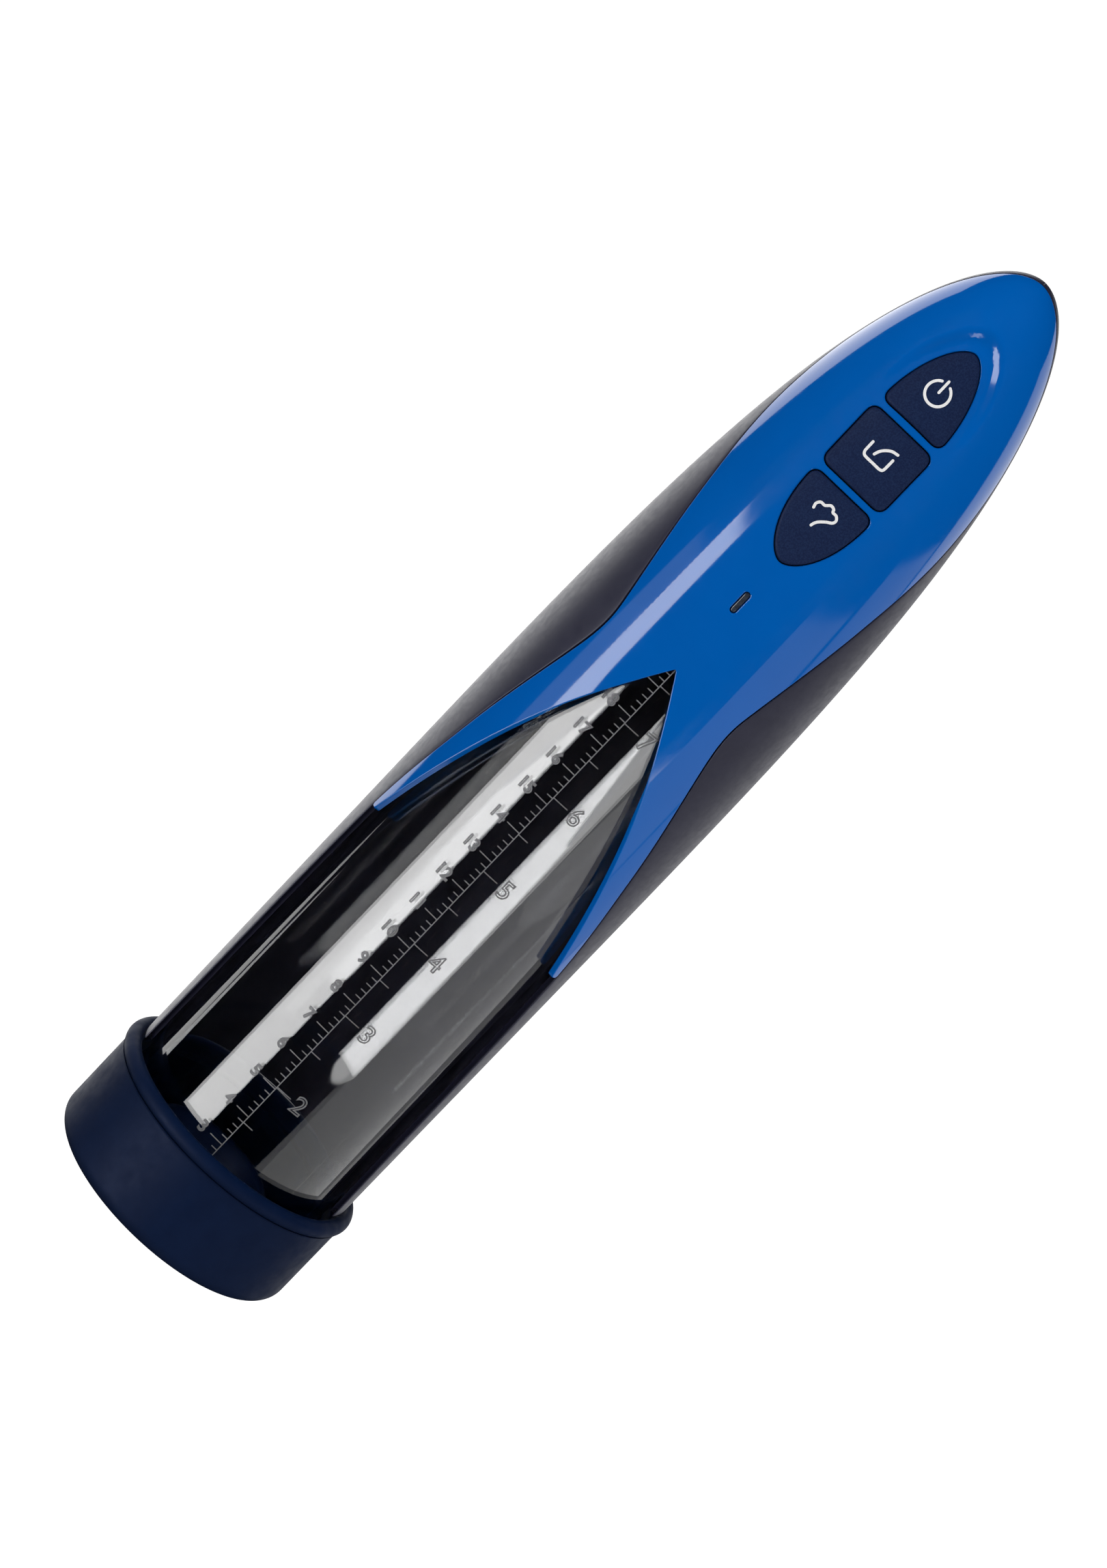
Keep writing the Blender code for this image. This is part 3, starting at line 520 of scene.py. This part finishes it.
def nearest_on(points, loops):
    """Distance to the nearest outline and the unit direction towards it."""
    starts = np.vstack(loops)
    ends = np.vstack([np.roll(loop, -1, axis=0) for loop in loops])
    best = np.full(len(points), np.inf)
    direction = np.zeros_like(points)
    spans = ends - starts
    lengths = np.maximum((spans**2).sum(1), 1e-18)
    for chunk in range(0, len(points), 2000):
        part = points[chunk:chunk + 2000]
        offset = part[:, None, :] - starts[None]
        share = np.clip((offset * spans[None]).sum(2) / lengths, 0, 1)
        gap = starts[None] + share[..., None] * spans[None] - part[:, None, :]
        size = np.linalg.norm(gap, axis=2)
        pick = size.argmin(1)
        rows = np.arange(len(part))
        best[chunk:chunk + 2000] = size[rows, pick]
        direction[chunk:chunk + 2000] = gap[rows, pick]
    return best, unit(direction)


def sheet(name, outline, holes, spacing, edge, thickness, rise=0.0, sunk=True, back=False):
    """A closed panel that follows the handle, with rolled edges of radius edge and a given thickness.

    outline and holes are flat loops. Its shading comes from the surface, so reflections stay clean.
    """
    loops = [anticlockwise(outline)] + [anticlockwise(hole)[::-1] for hole in holes]
    rim_steps = [edge * (1 - math.cos(math.radians(a))) for a in (12, 30, 48, 68, 90)]
    points = np.vstack(loops)
    outs = np.vstack([outward_of(loop) for loop in loops])
    edges, first = [], 0
    for loop in loops:
        edges += [(first + i, first + (i + 1) % len(loop)) for i in range(len(loop))]
        first += len(loop)
    rim_count = first
    extra = [points[:rim_count] - outs * inset for inset in rim_steps]
    low, high = loops[0].min(0), loops[0].max(0)
    rows = np.arange(low[1], high[1], spacing * 0.87)
    grid = [
        (x + (spacing / 2 if row % 2 else 0.0), y)
        for row, y in enumerate(rows) for x in np.arange(low[0], high[0] + spacing, spacing)
    ]
    extra.append(np.array(grid))
    kept = [points]
    for number, group in enumerate(extra):
        away = nearest_on(group, loops)[0]
        need = rim_steps[number] * 0.93 if number < len(rim_steps) else edge + spacing * 0.45
        good = inside(group, loops[0]) & (away > need)
        for hole in loops[1:]:
            good &= ~inside(group, hole)
        kept.append(group[good])
    points = np.vstack(kept)
    verts, _, faces, *_ = delaunay_2d_cdt([Vector(p / MM) for p in points], edges, [], 0, 1e-5)
    flat = np.array([(v.x, v.y) for v in verts]) * MM
    triangles = np.array([face[:] for face in faces])
    middle = flat[triangles].mean(1)
    good = inside(middle, loops[0])
    for hole in loops[1:]:
        good &= ~inside(middle, hole)
    triangles = triangles[good]
    return thicken(name, flat, triangles, loops, edge, thickness, rise, sunk, back)


def thicken(name, flat, triangles, loops, edge, thickness, rise, sunk, back):
    """Turns a flat triangulation into the closed panel, with its own shading normals."""
    a, b, c = (flat[triangles[:, k]] for k in range(3))
    flip = (b[:, 0] - a[:, 0]) * (c[:, 1] - a[:, 1]) - (b[:, 1] - a[:, 1]) * (c[:, 0] - a[:, 0]) < 0
    triangles[flip] = triangles[flip][:, ::-1]
    away, towards = nearest_on(flat, loops)
    pairs = {}
    for face in triangles.tolist():
        for i in range(3):
            pairs[(face[i], face[(i + 1) % 3])] = True
    rim = [pair for pair in pairs if (pair[1], pair[0]) not in pairs]
    after = {start: end for start, end in rim}
    before = {end: start for start, end in rim}
    for vertex, end in after.items():
        tangent = flat[end] - flat[before[vertex]]
        towards[vertex] = unit(np.array([tangent[1], -tangent[0]]))
        away[vertex] = 0.0
    short = np.clip(edge - away, 0.0, edge)
    drop = edge - np.sqrt(np.maximum(edge**2 - short**2, 0.0))
    outer = on_body(flat, rise - drop, sunk)
    across, along, normal = surface_frames(flat, rise, sunk)
    sides = np.maximum(ramp(np.abs(outer[:, 0]), *STRAIGHT_SIDES), ramp(outer[:, 2], *STRAIGHT_ENDS))
    through = unit(normal * np.stack([sides, np.ones(len(flat)), np.ones(len(flat))], -1))
    inner = on_body(flat, rise, sunk) - through * thickness
    sideways = across * towards[:, :1] + along * towards[:, 1:]
    turn = (short / edge)[:, None]
    shading = unit(normal * np.sqrt(np.maximum(1 - turn**2, 0.0)) + sideways * turn)
    count = len(flat)
    faces = [tuple(face) for face in triangles.tolist()]
    normals = [shading[v] for face in faces for v in face]
    for face in triangles.tolist():
        faces.append(tuple(v + count for v in reversed(face)))
        normals += [-normal[v] for v in reversed(face)]
    for start, end in rim:
        faces.append((end, start, start + count, end + count))
        normals += [sideways[v] for v in (end, start, start, end)]
    verts = np.vstack([outer, inner])
    normals = np.array(normals)
    if back:
        verts[:, :2] *= -1
        normals[:, :2] *= -1
    mesh = bpy.data.meshes.new(name)
    mesh.from_pydata(verts.tolist(), [], faces)
    mesh.shade_smooth()
    mesh.normals_split_custom_set(normals.tolist())
    obj = placed(name, mesh)
    return obj


def dress(obj, finish, body, replaces=()):
    """Gives a piece its material, the nodes it stands for and the body it rides on."""
    obj.data.materials.clear()
    obj.data.materials.append(finish)
    if replaces:
        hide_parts(*replaces)
    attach(obj, body)
    return obj


# ---------------------------------------------------------------- keys and light slot

def key_facing(z, back=False):
    """Origin, across, up and outward of the key's flat drawing plane at this height."""
    step = 0.5 * MM
    lean = math.atan(float(body_radius(z - step) - body_radius(z + step)) / (2 * step))
    outward = np.array([0.0, -math.cos(lean), math.sin(lean)])
    up = np.array([0.0, math.sin(lean), math.cos(lean)])
    return np.array([0.0, -float(body_radius(z)), z]), np.cross(up, outward), up, outward


def pressed_on(points, z):
    """Drawing-plane points carried straight in to the handle, as flat points."""
    origin, across, up, outward = key_facing(z)
    points = np.asarray(points, float)
    base = origin + points[:, :1] * across + points[:, 1:] * up
    low, high = np.full(len(points), -20 * MM), np.full(len(points), 8 * MM)
    for _ in range(44):
        middle = (low + high) / 2
        place = base + middle[:, None] * outward
        out = np.hypot(place[:, 0], place[:, 1]) > body_radius(place[:, 2])
        high = np.where(out, middle, high)
        low = np.where(out, low, middle)
    place = base + low[:, None] * outward
    return flat_from(np.arctan2(place[:, 0], -place[:, 1]), place[:, 2])


def arc(centre, radius, start, end, steps):
    angles = np.radians(np.linspace(start, end, steps + 1))
    return np.stack([centre[0] + radius * np.cos(angles), centre[1] + radius * np.sin(angles)], -1)


def key_outline(key, kind, grow=0.0):
    """A key's outline about its middle, in its drawing plane: square, pointed up or pointed down."""
    low, high, half = key
    origin, across, up, outward = key_facing((low + high) / 2)
    ends = [float(np.dot(np.array([0.0, -float(body_radius(z)), z]) - origin, up)) for z in (low, high)]
    bottom, top, half = ends[0] - grow, ends[1] + grow, half + grow
    corner = KEY_CORNER + grow
    if kind == "square":
        right = np.vstack([
            arc((half - corner, bottom + corner), corner, -90, 0, 12),
            arc((half - corner, top - corner), corner, 0, 90, 12),
        ])
        return np.vstack([right, right[::-1] * [-1, 1]])
    length = top - bottom
    share = np.sin(np.linspace(0.12, math.pi / 2, 60))
    side = np.stack([half * np.maximum(1 - share**2.4, 0) ** 0.6, length * share], -1)
    right = np.vstack([arc((half - corner, corner), corner, -90, 0, 12), side[side[:, 1] > corner]])
    points = np.vstack([right, right[::-1] * [-1, 1]])
    if kind == "up":
        return points + [0, bottom]
    return points * [1, -1] + [0, top]


def pill_outline(width, height, grow=0.0):
    radius, reach = height / 2 + grow, (width - height) / 2
    return np.vstack([arc((reach, 0), radius, -90, 90, 16), arc((-reach, 0), radius, 90, 270, 16)])


def key_flat(key, kind, grow=0.0):
    """A key's outline on the handle, with softened corners."""
    middle = (key[0] + key[1]) / 2
    outline = soften(key_outline(key, kind, grow), KEY_SOFTENING, 0.45 * MM)
    return pressed_on(outline, middle)


def slot_flat(grow=0.0):
    return pressed_on(resample(pill_outline(SLOT_LENGTH, SLOT_WIDTH, grow)[:, ::-1], 0.25 * MM), SLOT_MIDDLE)


def make_faceplate(finish):
    top = split_line_top()
    heights = LEG_END + (top - LEG_END) * np.sin(np.linspace(0, math.pi / 2, 400))
    right = flat_from(split_angle(heights, SEAM / 2), heights)
    legs = np.linspace(LEG_END, WINDOW_APEX, 200)
    inner = flat_from(window_angle(legs), legs)
    outline = np.vstack([
        right, (right * [-1, 1])[::-1], inner * [-1, 1], inner[::-1],
    ])
    outline = soften(outline, 0.3 * MM, 0.5 * MM)
    holes = [key_flat(key, kind, KEY_GAP) for _, key, kind, _ in KEYS]
    holes.append(slot_flat(KEY_GAP / 3))
    plate = sheet("faceplate_skin", outline, holes, 1.1 * MM, 0.3 * MM, 1.5 * MM)
    dress(plate, finish, "housing", ["faceplate"])


def split_line_top():
    """The height where the split line meets the middle of the nose."""
    low, high = 283.0 * MM, NOSE_TIP
    for _ in range(50):
        middle = (low + high) / 2
        if float(body_radius(middle)) > float(on_line(SPLIT_LINE, middle)) + SEAM / 2:
            low = middle
        else:
            high = middle
    return low


def make_keys(finish, ink):
    for name, key, kind, body in KEYS:
        cap = sheet(
            name + "_cap", key_flat(key, kind), [], 0.9 * MM, KEY_EDGE, KEY_DEPTH + KEY_PROUD, rise=KEY_PROUD
        )
        dress(cap, finish, body, [name])
        middle = (key[0] + key[1]) / 2
        for number, stroke in enumerate(ICONS[name], 1):
            line = pressed_on(ribbon(np.array(stroke) * MM, ICON_LINE), middle)
            mark = sheet(
                f"{name}_icon_{number}", line, [], 0.5 * MM, 0.05 * MM, 0.25 * MM, rise=KEY_PROUD + 0.05 * MM
            )
            dress(mark, ink, body)


def ribbon(points, width):
    """The outline of a rounded stroke along a smooth path through the points."""
    path = smooth_path(points)
    tangent = unit(np.gradient(path, axis=0))
    side = np.stack([-tangent[:, 1], tangent[:, 0]], -1) * width / 2
    start = math.degrees(math.atan2(side[0][1], side[0][0]))
    end = math.degrees(math.atan2(-side[-1][1], -side[-1][0]))
    return resample(
        np.vstack([
            path - side,
            arc(path[-1], width / 2, end, end + 180, 8)[1:-1],
            (path + side)[::-1],
            arc(path[0], width / 2, start, start + 180, 8)[1:-1],
        ]),
        0.16 * MM,
    )


def smooth_path(points):
    """A Catmull-Rom path through the points, evenly spaced."""
    if len(points) == 2:
        return points[0] + np.linspace(0, 1, 16)[:, None] * (points[1] - points[0])
    padded = np.vstack([2 * points[0] - points[1], points, 2 * points[-1] - points[-2]])
    path = []
    for i in range(1, len(padded) - 2):
        p0, p1, p2, p3 = padded[i - 1:i + 3]
        for t in np.linspace(0, 1, 12, endpoint=False):
            path.append(
                0.5 * (2 * p1 + (p2 - p0) * t + (2 * p0 - 5 * p1 + 4 * p2 - p3) * t**2
                       + (3 * p1 - p0 - 3 * p2 + p3) * t**3)
            )
    path.append(points[-1])
    path = np.array(path)
    run = np.concatenate([[0.0], np.cumsum(np.linalg.norm(np.diff(path, axis=0), axis=1))])
    at = np.linspace(0, run[-1], max(int(run[-1] / (0.15 * MM)), 8))
    return np.stack([np.interp(at, run, path[:, k]) for k in range(2)], -1)


# ---------------------------------------------------------------- turned pieces, grip and ruler

def turned(name, profile, sides=160, sharp=35):
    """A turned closed piece from a loop of (radius, height) points."""
    profile = np.asarray(profile, float)
    r, z = profile.T
    if np.sum(r * np.roll(z, -1) - np.roll(r, -1) * z) < 0:
        profile = profile[::-1]
    form = bmesh.new()
    rings = []
    for step in range(sides):
        angle = 2 * math.pi * step / sides
        rings.append([form.verts.new((r * math.cos(angle), r * math.sin(angle), z)) for r, z in profile])
    count = len(profile)
    for ring, following in zip(rings, rings[1:] + rings[:1]):
        for i in range(count):
            j = (i + 1) % count
            form.faces.new((ring[i], following[i], following[j], ring[j]))
    mesh = mesh_from(name, form)
    mesh.shade_smooth()
    mesh.set_sharp_from_angle(angle=math.radians(sharp))
    obj = placed(name, mesh)
    return obj


def make_tube(finish):
    inner = TUBE_RADIUS - TUBE_WALL
    ceiling = TUBE_TOP - TUBE_WALL
    mouth = TUBE_LOW.z
    lip = TUBE_WALL / 2
    inside_run = np.linspace(ceiling - TUBE_STRAIGHT_INSIDE, mouth + TUBE_STRAIGHT_OUTSIDE, TUBE_CUTS)
    outside_run = np.linspace(mouth + TUBE_STRAIGHT_OUTSIDE, TUBE_TOP - TUBE_STRAIGHT_OUTSIDE, TUBE_CUTS)
    profile = np.vstack([
        [(PORT_BORE, ceiling)],
        arc((inner - TUBE_INNER_CORNER, ceiling - TUBE_INNER_CORNER), TUBE_INNER_CORNER, 90, 0, 12),
        np.stack([np.full(TUBE_CUTS, inner), inside_run], -1),
        arc((TUBE_RADIUS - lip, mouth + lip), lip, 180, 360, 12),
        np.stack([np.full(TUBE_CUTS, TUBE_RADIUS), outside_run], -1),
        arc((TUBE_RADIUS - TUBE_OUTER_CORNER, TUBE_TOP - TUBE_OUTER_CORNER), TUBE_OUTER_CORNER, 0, 90, 8),
        [(PORT_RADIUS, TUBE_TOP), (PORT_RADIUS, TUBE_HIGH.z), (PORT_BORE, TUBE_HIGH.z)],
    ])
    tube = turned("cylinder_clear", profile, sides=192)
    dress(tube, finish, "cylinder", ["clear_cylinder"])


def make_sleeve(finish):
    wall = SLEEVE_WALL
    bead = (SLEEVE_HIGH.x - BEAD_RADIUS, SLEEVE_HIGH.z - BEAD_RADIUS)
    bore = TUBE_RADIUS + SLEEVE_CLEARANCE
    profile = np.vstack([
        # The flat end ring, the wall, the crease under the bead and the bead.
        [(20.5 * MM, 0), (24 * MM, 0)],
        arc((wall - SLEEVE_CORNER, SLEEVE_CORNER), SLEEVE_CORNER, -90, 0, 16),
        np.stack([np.full(8, wall), np.linspace(6 * MM, 24.2 * MM, 8)], -1),
        arc((wall + 1.2 * MM, 25.4 * MM), 1.2 * MM, 180, 128, 6),
        arc(bead, BEAD_RADIUS, -58, 180, 24),
        arc((bead[0] - BEAD_RADIUS - 1.0 * MM, 26 * MM), 1.0 * MM, 0, -60, 5),
        # The seat of the cylinder's mouth.
        [(bore, 25 * MM), (bore, 2.4 * MM)],
        arc((bore - 1 * MM, 3.1 * MM), 1 * MM, 0, -90, 4),
        # The soft entry, which turns up inside and comes back down to the end ring.
        arc((24 * MM, 4.6 * MM), 2.5 * MM, -90, -160, 8),
        [(19.5 * MM, 8 * MM), (18.9 * MM, 12 * MM), (18.3 * MM, 16 * MM)],
        arc((17.2 * MM, 17 * MM), 1.1 * MM, 0, 180, 10),
        [(16.15 * MM, 14 * MM), (16.3 * MM, 10 * MM), (16.8 * MM, 5.5 * MM)],
        arc((20.5 * MM, 3.4 * MM), 3.4 * MM, 190, 270, 10)[:-1],
    ])
    sleeve = turned("entry_sleeve_skin", profile, sides=192, sharp=60)
    dress(sleeve, finish, "sleeve", ["entry_sleeve"])


def make_grip(finish, inside_shade_copy):
    """The navy shell behind the split line: one quad grid with rolled rims, thickened inwards."""
    rim = np.array([0.0, 0.03, 0.09, 0.17, 0.26]) * MM
    low = BODY_LOW + np.array([0.0, 0.05, 0.14, 0.26, 0.4]) * MM
    nose_length = NOSE_TIP - GRIP_NOSE_ROWS_START
    heights = np.concatenate([
        low, np.linspace(BODY_LOW + 1.5 * MM, GRIP_NOSE_ROWS_START, 44),
        GRIP_NOSE_ROWS_START + nose_length * np.sin(np.linspace(0.01, math.pi / 2, 230)),
    ])
    first = split_angle(heights, -SEAM / 2)
    radius = body_radius(heights)
    rows = []
    for z, start, reach in zip(heights, first, radius):
        narrow = np.minimum(rim / max(reach, 1e-5), (math.pi - start) * 0.3)
        angles = np.concatenate([start + narrow, np.linspace(start + narrow[-1], math.pi, GRIP_COLUMNS)[1:]])
        away = np.concatenate([rim, np.full(GRIP_COLUMNS - 1, 1.0)])
        away = np.minimum(away, z - BODY_LOW)
        short = np.clip(GRIP_ROLL - away, 0.0, GRIP_ROLL)
        drop = GRIP_ROLL - np.sqrt(np.maximum(GRIP_ROLL**2 - short**2, 0.0))
        drop = np.minimum(drop, reach * 0.5)
        rows.append(on_body(flat_from(angles, np.full(len(angles), z)), -drop, sunk=False))
    form = bmesh.new()
    made = [[form.verts.new(point) for point in row] for row in rows]
    for row in made:
        row[-1].co.x = 0.0
    for lower, upper in zip(made, made[1:]):
        for i in range(len(lower) - 1):
            form.faces.new((lower[i], lower[i + 1], upper[i + 1], upper[i]))
    bmesh.ops.remove_doubles(form, verts=form.verts, dist=0.004 * MM)
    grip = placed("grip_skin", mesh_from("grip_skin", form))
    mirror = grip.modifiers.new("mirror", "MIRROR")
    mirror.merge_threshold = 0.00001
    wall = grip.modifiers.new("wall", "SOLIDIFY")
    wall.thickness = SHELL
    wall.offset = -1
    cutter = inlet_cutter()
    hole = grip.modifiers.new("inlet", "BOOLEAN")
    hole.object = cutter
    hole.solver = "EXACT"
    baked = bpy.data.meshes.new_from_object(
        grip.evaluated_get(bpy.context.evaluated_depsgraph_get()), depsgraph=bpy.context.evaluated_depsgraph_get()
    )
    grip.modifiers.clear()
    grip.data = baked
    baked.shade_smooth()
    baked.set_sharp_from_angle(angle=math.radians(50))
    bpy.data.objects.remove(cutter)
    dress(grip, finish, "housing", ["grip_shell"])
    # The inner faces get the shaded copy of the navy: painted shade inside the shell.
    baked.materials.append(inside_shade_copy)
    for face in baked.polygons:
        if face.normal.xy.dot(face.center.xy) < -0.5 * face.center.xy.length:
            face.material_index = 1


def inlet_cutter():
    """A pill-shaped plug through the back of the grip."""
    origin, across, up, outward = key_facing(INLET_HEIGHT)
    turn = np.array([-1.0, -1.0, 1.0])
    form = bmesh.new()
    loops = []
    for depth in (-6 * MM, 4 * MM):
        outline = pill_outline(COVER_WIDTH, COVER_HEIGHT, KEY_GAP)
        points = (origin + outline[:, :1] * across + outline[:, 1:] * up + depth * outward) * turn
        loops.append([form.verts.new(point) for point in points])
    for i in range(len(loops[0])):
        j = (i + 1) % len(loops[0])
        form.faces.new((loops[0][i], loops[0][j], loops[1][j], loops[1][i]))
    form.faces.new(loops[0][::-1])
    form.faces.new(loops[1])
    bmesh.ops.recalc_face_normals(form, faces=form.faces)
    return placed("inlet_cutter", mesh_from("inlet_cutter", form))


def make_cover(finish):
    outline = pressed_on(resample(pill_outline(COVER_WIDTH, COVER_HEIGHT), 0.4 * MM), INLET_HEIGHT)
    cover = sheet("charge_cover_skin", outline, [], 0.9 * MM, 0.5 * MM, 2 * MM, sunk=False, back=True)
    dress(cover, finish, "charge_flap", ["charge_cover"])


def make_light(finish):
    lens = sheet(
        "light_window_lens", slot_flat(), [], 0.5 * MM, 0.5 * MM, 1.4 * MM, rise=-0.45 * MM
    )
    dress(lens, finish, "housing", ["light_pipe"])


def bent_on_tube(name, pieces, finish):
    """Flat marks, given as bmesh in metres with X across and Y up, wrapped on the cylinder's outside."""
    for vert in pieces.verts:
        angle = vert.co.x / TUBE_RADIUS
        radius = TUBE_RADIUS + vert.co.z
        vert.co = Vector((radius * math.sin(angle), -radius * math.cos(angle), vert.co.y))
    bmesh.ops.recalc_face_normals(pieces, faces=pieces.faces)
    dress(placed(name, mesh_from(name, pieces)), finish, "cylinder")


def add_bar(form, x1, x2, y1, y2):
    """A thin raised bar, cut across so that it can bend."""
    steps = max(int(abs(x2 - x1) / (0.8 * MM)), 1)
    grid = []
    for z in (MARK_LOW, MARK_HIGH):
        grid.append([
            [form.verts.new((x1 + (x2 - x1) * i / steps, y, z)) for i in range(steps + 1)] for y in (y1, y2)
        ])
    bottom, top = grid
    for i in range(steps):
        form.faces.new((top[0][i], top[0][i + 1], top[1][i + 1], top[1][i]))
        form.faces.new((bottom[1][i], bottom[1][i + 1], bottom[0][i + 1], bottom[0][i]))
        form.faces.new((bottom[0][i], bottom[0][i + 1], top[0][i + 1], top[0][i]))
        form.faces.new((top[1][i], top[1][i + 1], bottom[1][i + 1], bottom[1][i]))
    form.faces.new((bottom[1][0], bottom[0][0], top[0][0], top[1][0]))
    form.faces.new((bottom[0][steps], bottom[1][steps], top[1][steps], top[0][steps]))


def make_ruler(finish):
    """Centimetres to the left of the middle line, with 2 mm ticks, and half inches to the right."""
    form = bmesh.new()
    half = MARK_LINE / 2
    zero = TUBE_LOW.z
    first, last = zero + RULER_ENDS[0], zero + RULER_ENDS[1]
    add_bar(form, -half, half, first, last)
    for step in range(13, 99):
        z = zero + step * 2 * MM
        if first <= z <= last:
            add_bar(form, -CM_TICKS[0 if step % 5 == 0 else 1], -half, z - half, z + half)
    for step in range(1, 16):
        z = zero + step * INCH / 2
        if first <= z <= last:
            add_bar(form, half, INCH_TICKS[step % 2], z - half, z + half)
    bent_on_tube("ruler_lines", form, finish)
    for number in range(3, 20):
        x, tall = CM_NUMERALS
        make_numeral(f"ruler_cm_{number}", number, x, zero + number * 10 * MM, tall, finish)
    for number in range(2, 8):
        x, tall = INCH_NUMERALS
        make_numeral(f"ruler_inch_{number}", number, x, zero + number * INCH, tall, finish)


def make_numeral(name, number, x, z, tall, finish):
    """A numeral drawn as a thin outline, wrapped on the cylinder."""
    curve = bpy.data.curves.new(name, "FONT")
    curve.body = str(number)
    curve.align_x = "CENTER"
    curve.size = tall / 0.69
    curve.fill_mode = "NONE"
    curve.bevel_depth = NUMERAL_LINE / 2
    curve.bevel_resolution = 1
    curve.resolution_u = 4
    obj = placed(name + "_font", curve)
    bpy.context.view_layer.update()
    mesh = bpy.data.meshes.new_from_object(obj.evaluated_get(bpy.context.evaluated_depsgraph_get()))
    bpy.data.objects.remove(obj)
    form = bmesh.new()
    form.from_mesh(mesh)
    low = min(vert.co.x for vert in form.verts)
    high = max(vert.co.x for vert in form.verts)
    for vert in form.verts:
        vert.co = Vector((vert.co.x - (low + high) / 2 + x, vert.co.y - tall / 2 + z, vert.co.z * 0.4))
    bent_on_tube(name, form, finish)


# ---------------------------------------------------------------- camera, floor and lights

def make_camera():
    camera = placed("camera", bpy.data.cameras.new("camera"))
    bpy.context.scene.camera = camera
    camera.data.sensor_width = SENSOR
    camera.data.lens = LENS
    camera.data.clip_start = 0.05
    camera.data.clip_end = 60
    ahead = Vector((0, math.cos(CAMERA_DOWN), -math.sin(CAMERA_DOWN)))
    upright = Vector((0, math.sin(CAMERA_DOWN), math.cos(CAMERA_DOWN)))
    level = Vector((1, 0, 0))
    right = math.cos(CAMERA_ROLL) * level + math.sin(CAMERA_ROLL) * upright
    up = math.cos(CAMERA_ROLL) * upright - math.sin(CAMERA_ROLL) * level
    turn = Matrix((right, up, -ahead)).transposed().to_4x4()
    camera.matrix_world = Matrix.Translation((CAMERA_ASIDE, -CAMERA_AWAY, CAMERA_HEIGHT)) @ turn


def panel(name, azimuth, elevation, distance, width, height, radiance):
    """A light panel that faces the handle; azimuth is from the camera's side, positive to the right."""
    lamp = bpy.data.lights.new(name, "AREA")
    lamp.shape = "RECTANGLE"
    lamp.size = width
    lamp.size_y = height
    lamp.energy = 4 * width * height * radiance
    obj = placed(name, lamp)
    turn, rise = math.radians(azimuth), math.radians(elevation)
    away = Vector((math.sin(turn) * math.cos(rise), -math.cos(turn) * math.cos(rise), math.sin(rise)))
    obj.location = LIGHT_TARGET + away * distance
    obj.rotation_mode = "QUATERNION"
    obj.rotation_quaternion = (-away).to_track_quat("-Z", "Y")
    obj.visible_camera = False
    return obj


def backdrop(name, form, brightness):
    """A plain pale surface behind and below, left out of reflections."""
    mesh = mesh_from(name, form)
    obj = placed(name, mesh)
    made, tree, shader = new_material("pale_" + name)
    mottle(tree, shader, grey(0.2), grey(0.22), 3)
    shader.inputs["Roughness"].default_value = 0.9
    shader.inputs["Emission Color"].default_value = (1, 1, 1, 1)
    shader.inputs["Emission Strength"].default_value = brightness
    mesh.materials.append(made)
    obj.visible_glossy = False
    obj.visible_shadow = False
    return obj


def make_studio():
    bpy.context.scene.view_settings.view_transform = "Standard"
    world = bpy.data.worlds.new("studio")
    bpy.context.scene.world = world
    world.use_nodes = True
    background = world.node_tree.nodes["Background"]
    background.inputs["Color"].default_value = WORLD_COLOUR
    background.inputs["Strength"].default_value = WORLD_STRENGTH
    world.cycles_visibility.glossy = False
    world.cycles_visibility.transmission = False
    disc = bmesh.new()
    bmesh.ops.create_circle(disc, cap_ends=True, segments=96, radius=FLOOR_RADIUS)
    backdrop("floor", disc, 1.0).location = (*FLOOR_PLACE, -FLOOR_DROP)
    dome = bmesh.new()
    bmesh.ops.create_uvsphere(dome, u_segments=48, v_segments=24, radius=DOME_RADIUS)
    bmesh.ops.reverse_faces(dome, faces=dome.faces)
    dome = backdrop("dome", dome, 1.0)
    dome.visible_diffuse = False
    dome.visible_transmission = False
    for strip in STRIPS:
        panel(*strip).visible_diffuse = False
    for soft in SOFT_PANELS:
        panel(*soft).visible_glossy = False


make_camera()
make_studio()
FINISH = finishes()
INK = make_icon_ink()
MARK = make_mark()
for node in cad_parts.values():
    slot = node.data.materials[0].name
    node.data.materials[0] = FINISH[slot]
make_grip(FINISH["navy_soft_touch"], make_lining())
make_faceplate(FINISH["blue_gloss"])
make_keys(FINISH["navy_key"], INK)
make_light(FINISH["light_window"])
make_cover(FINISH["navy_silicone"])
make_tube(FINISH["clear_plastic"])
make_sleeve(FINISH["navy_silicone"])
make_ruler(MARK)
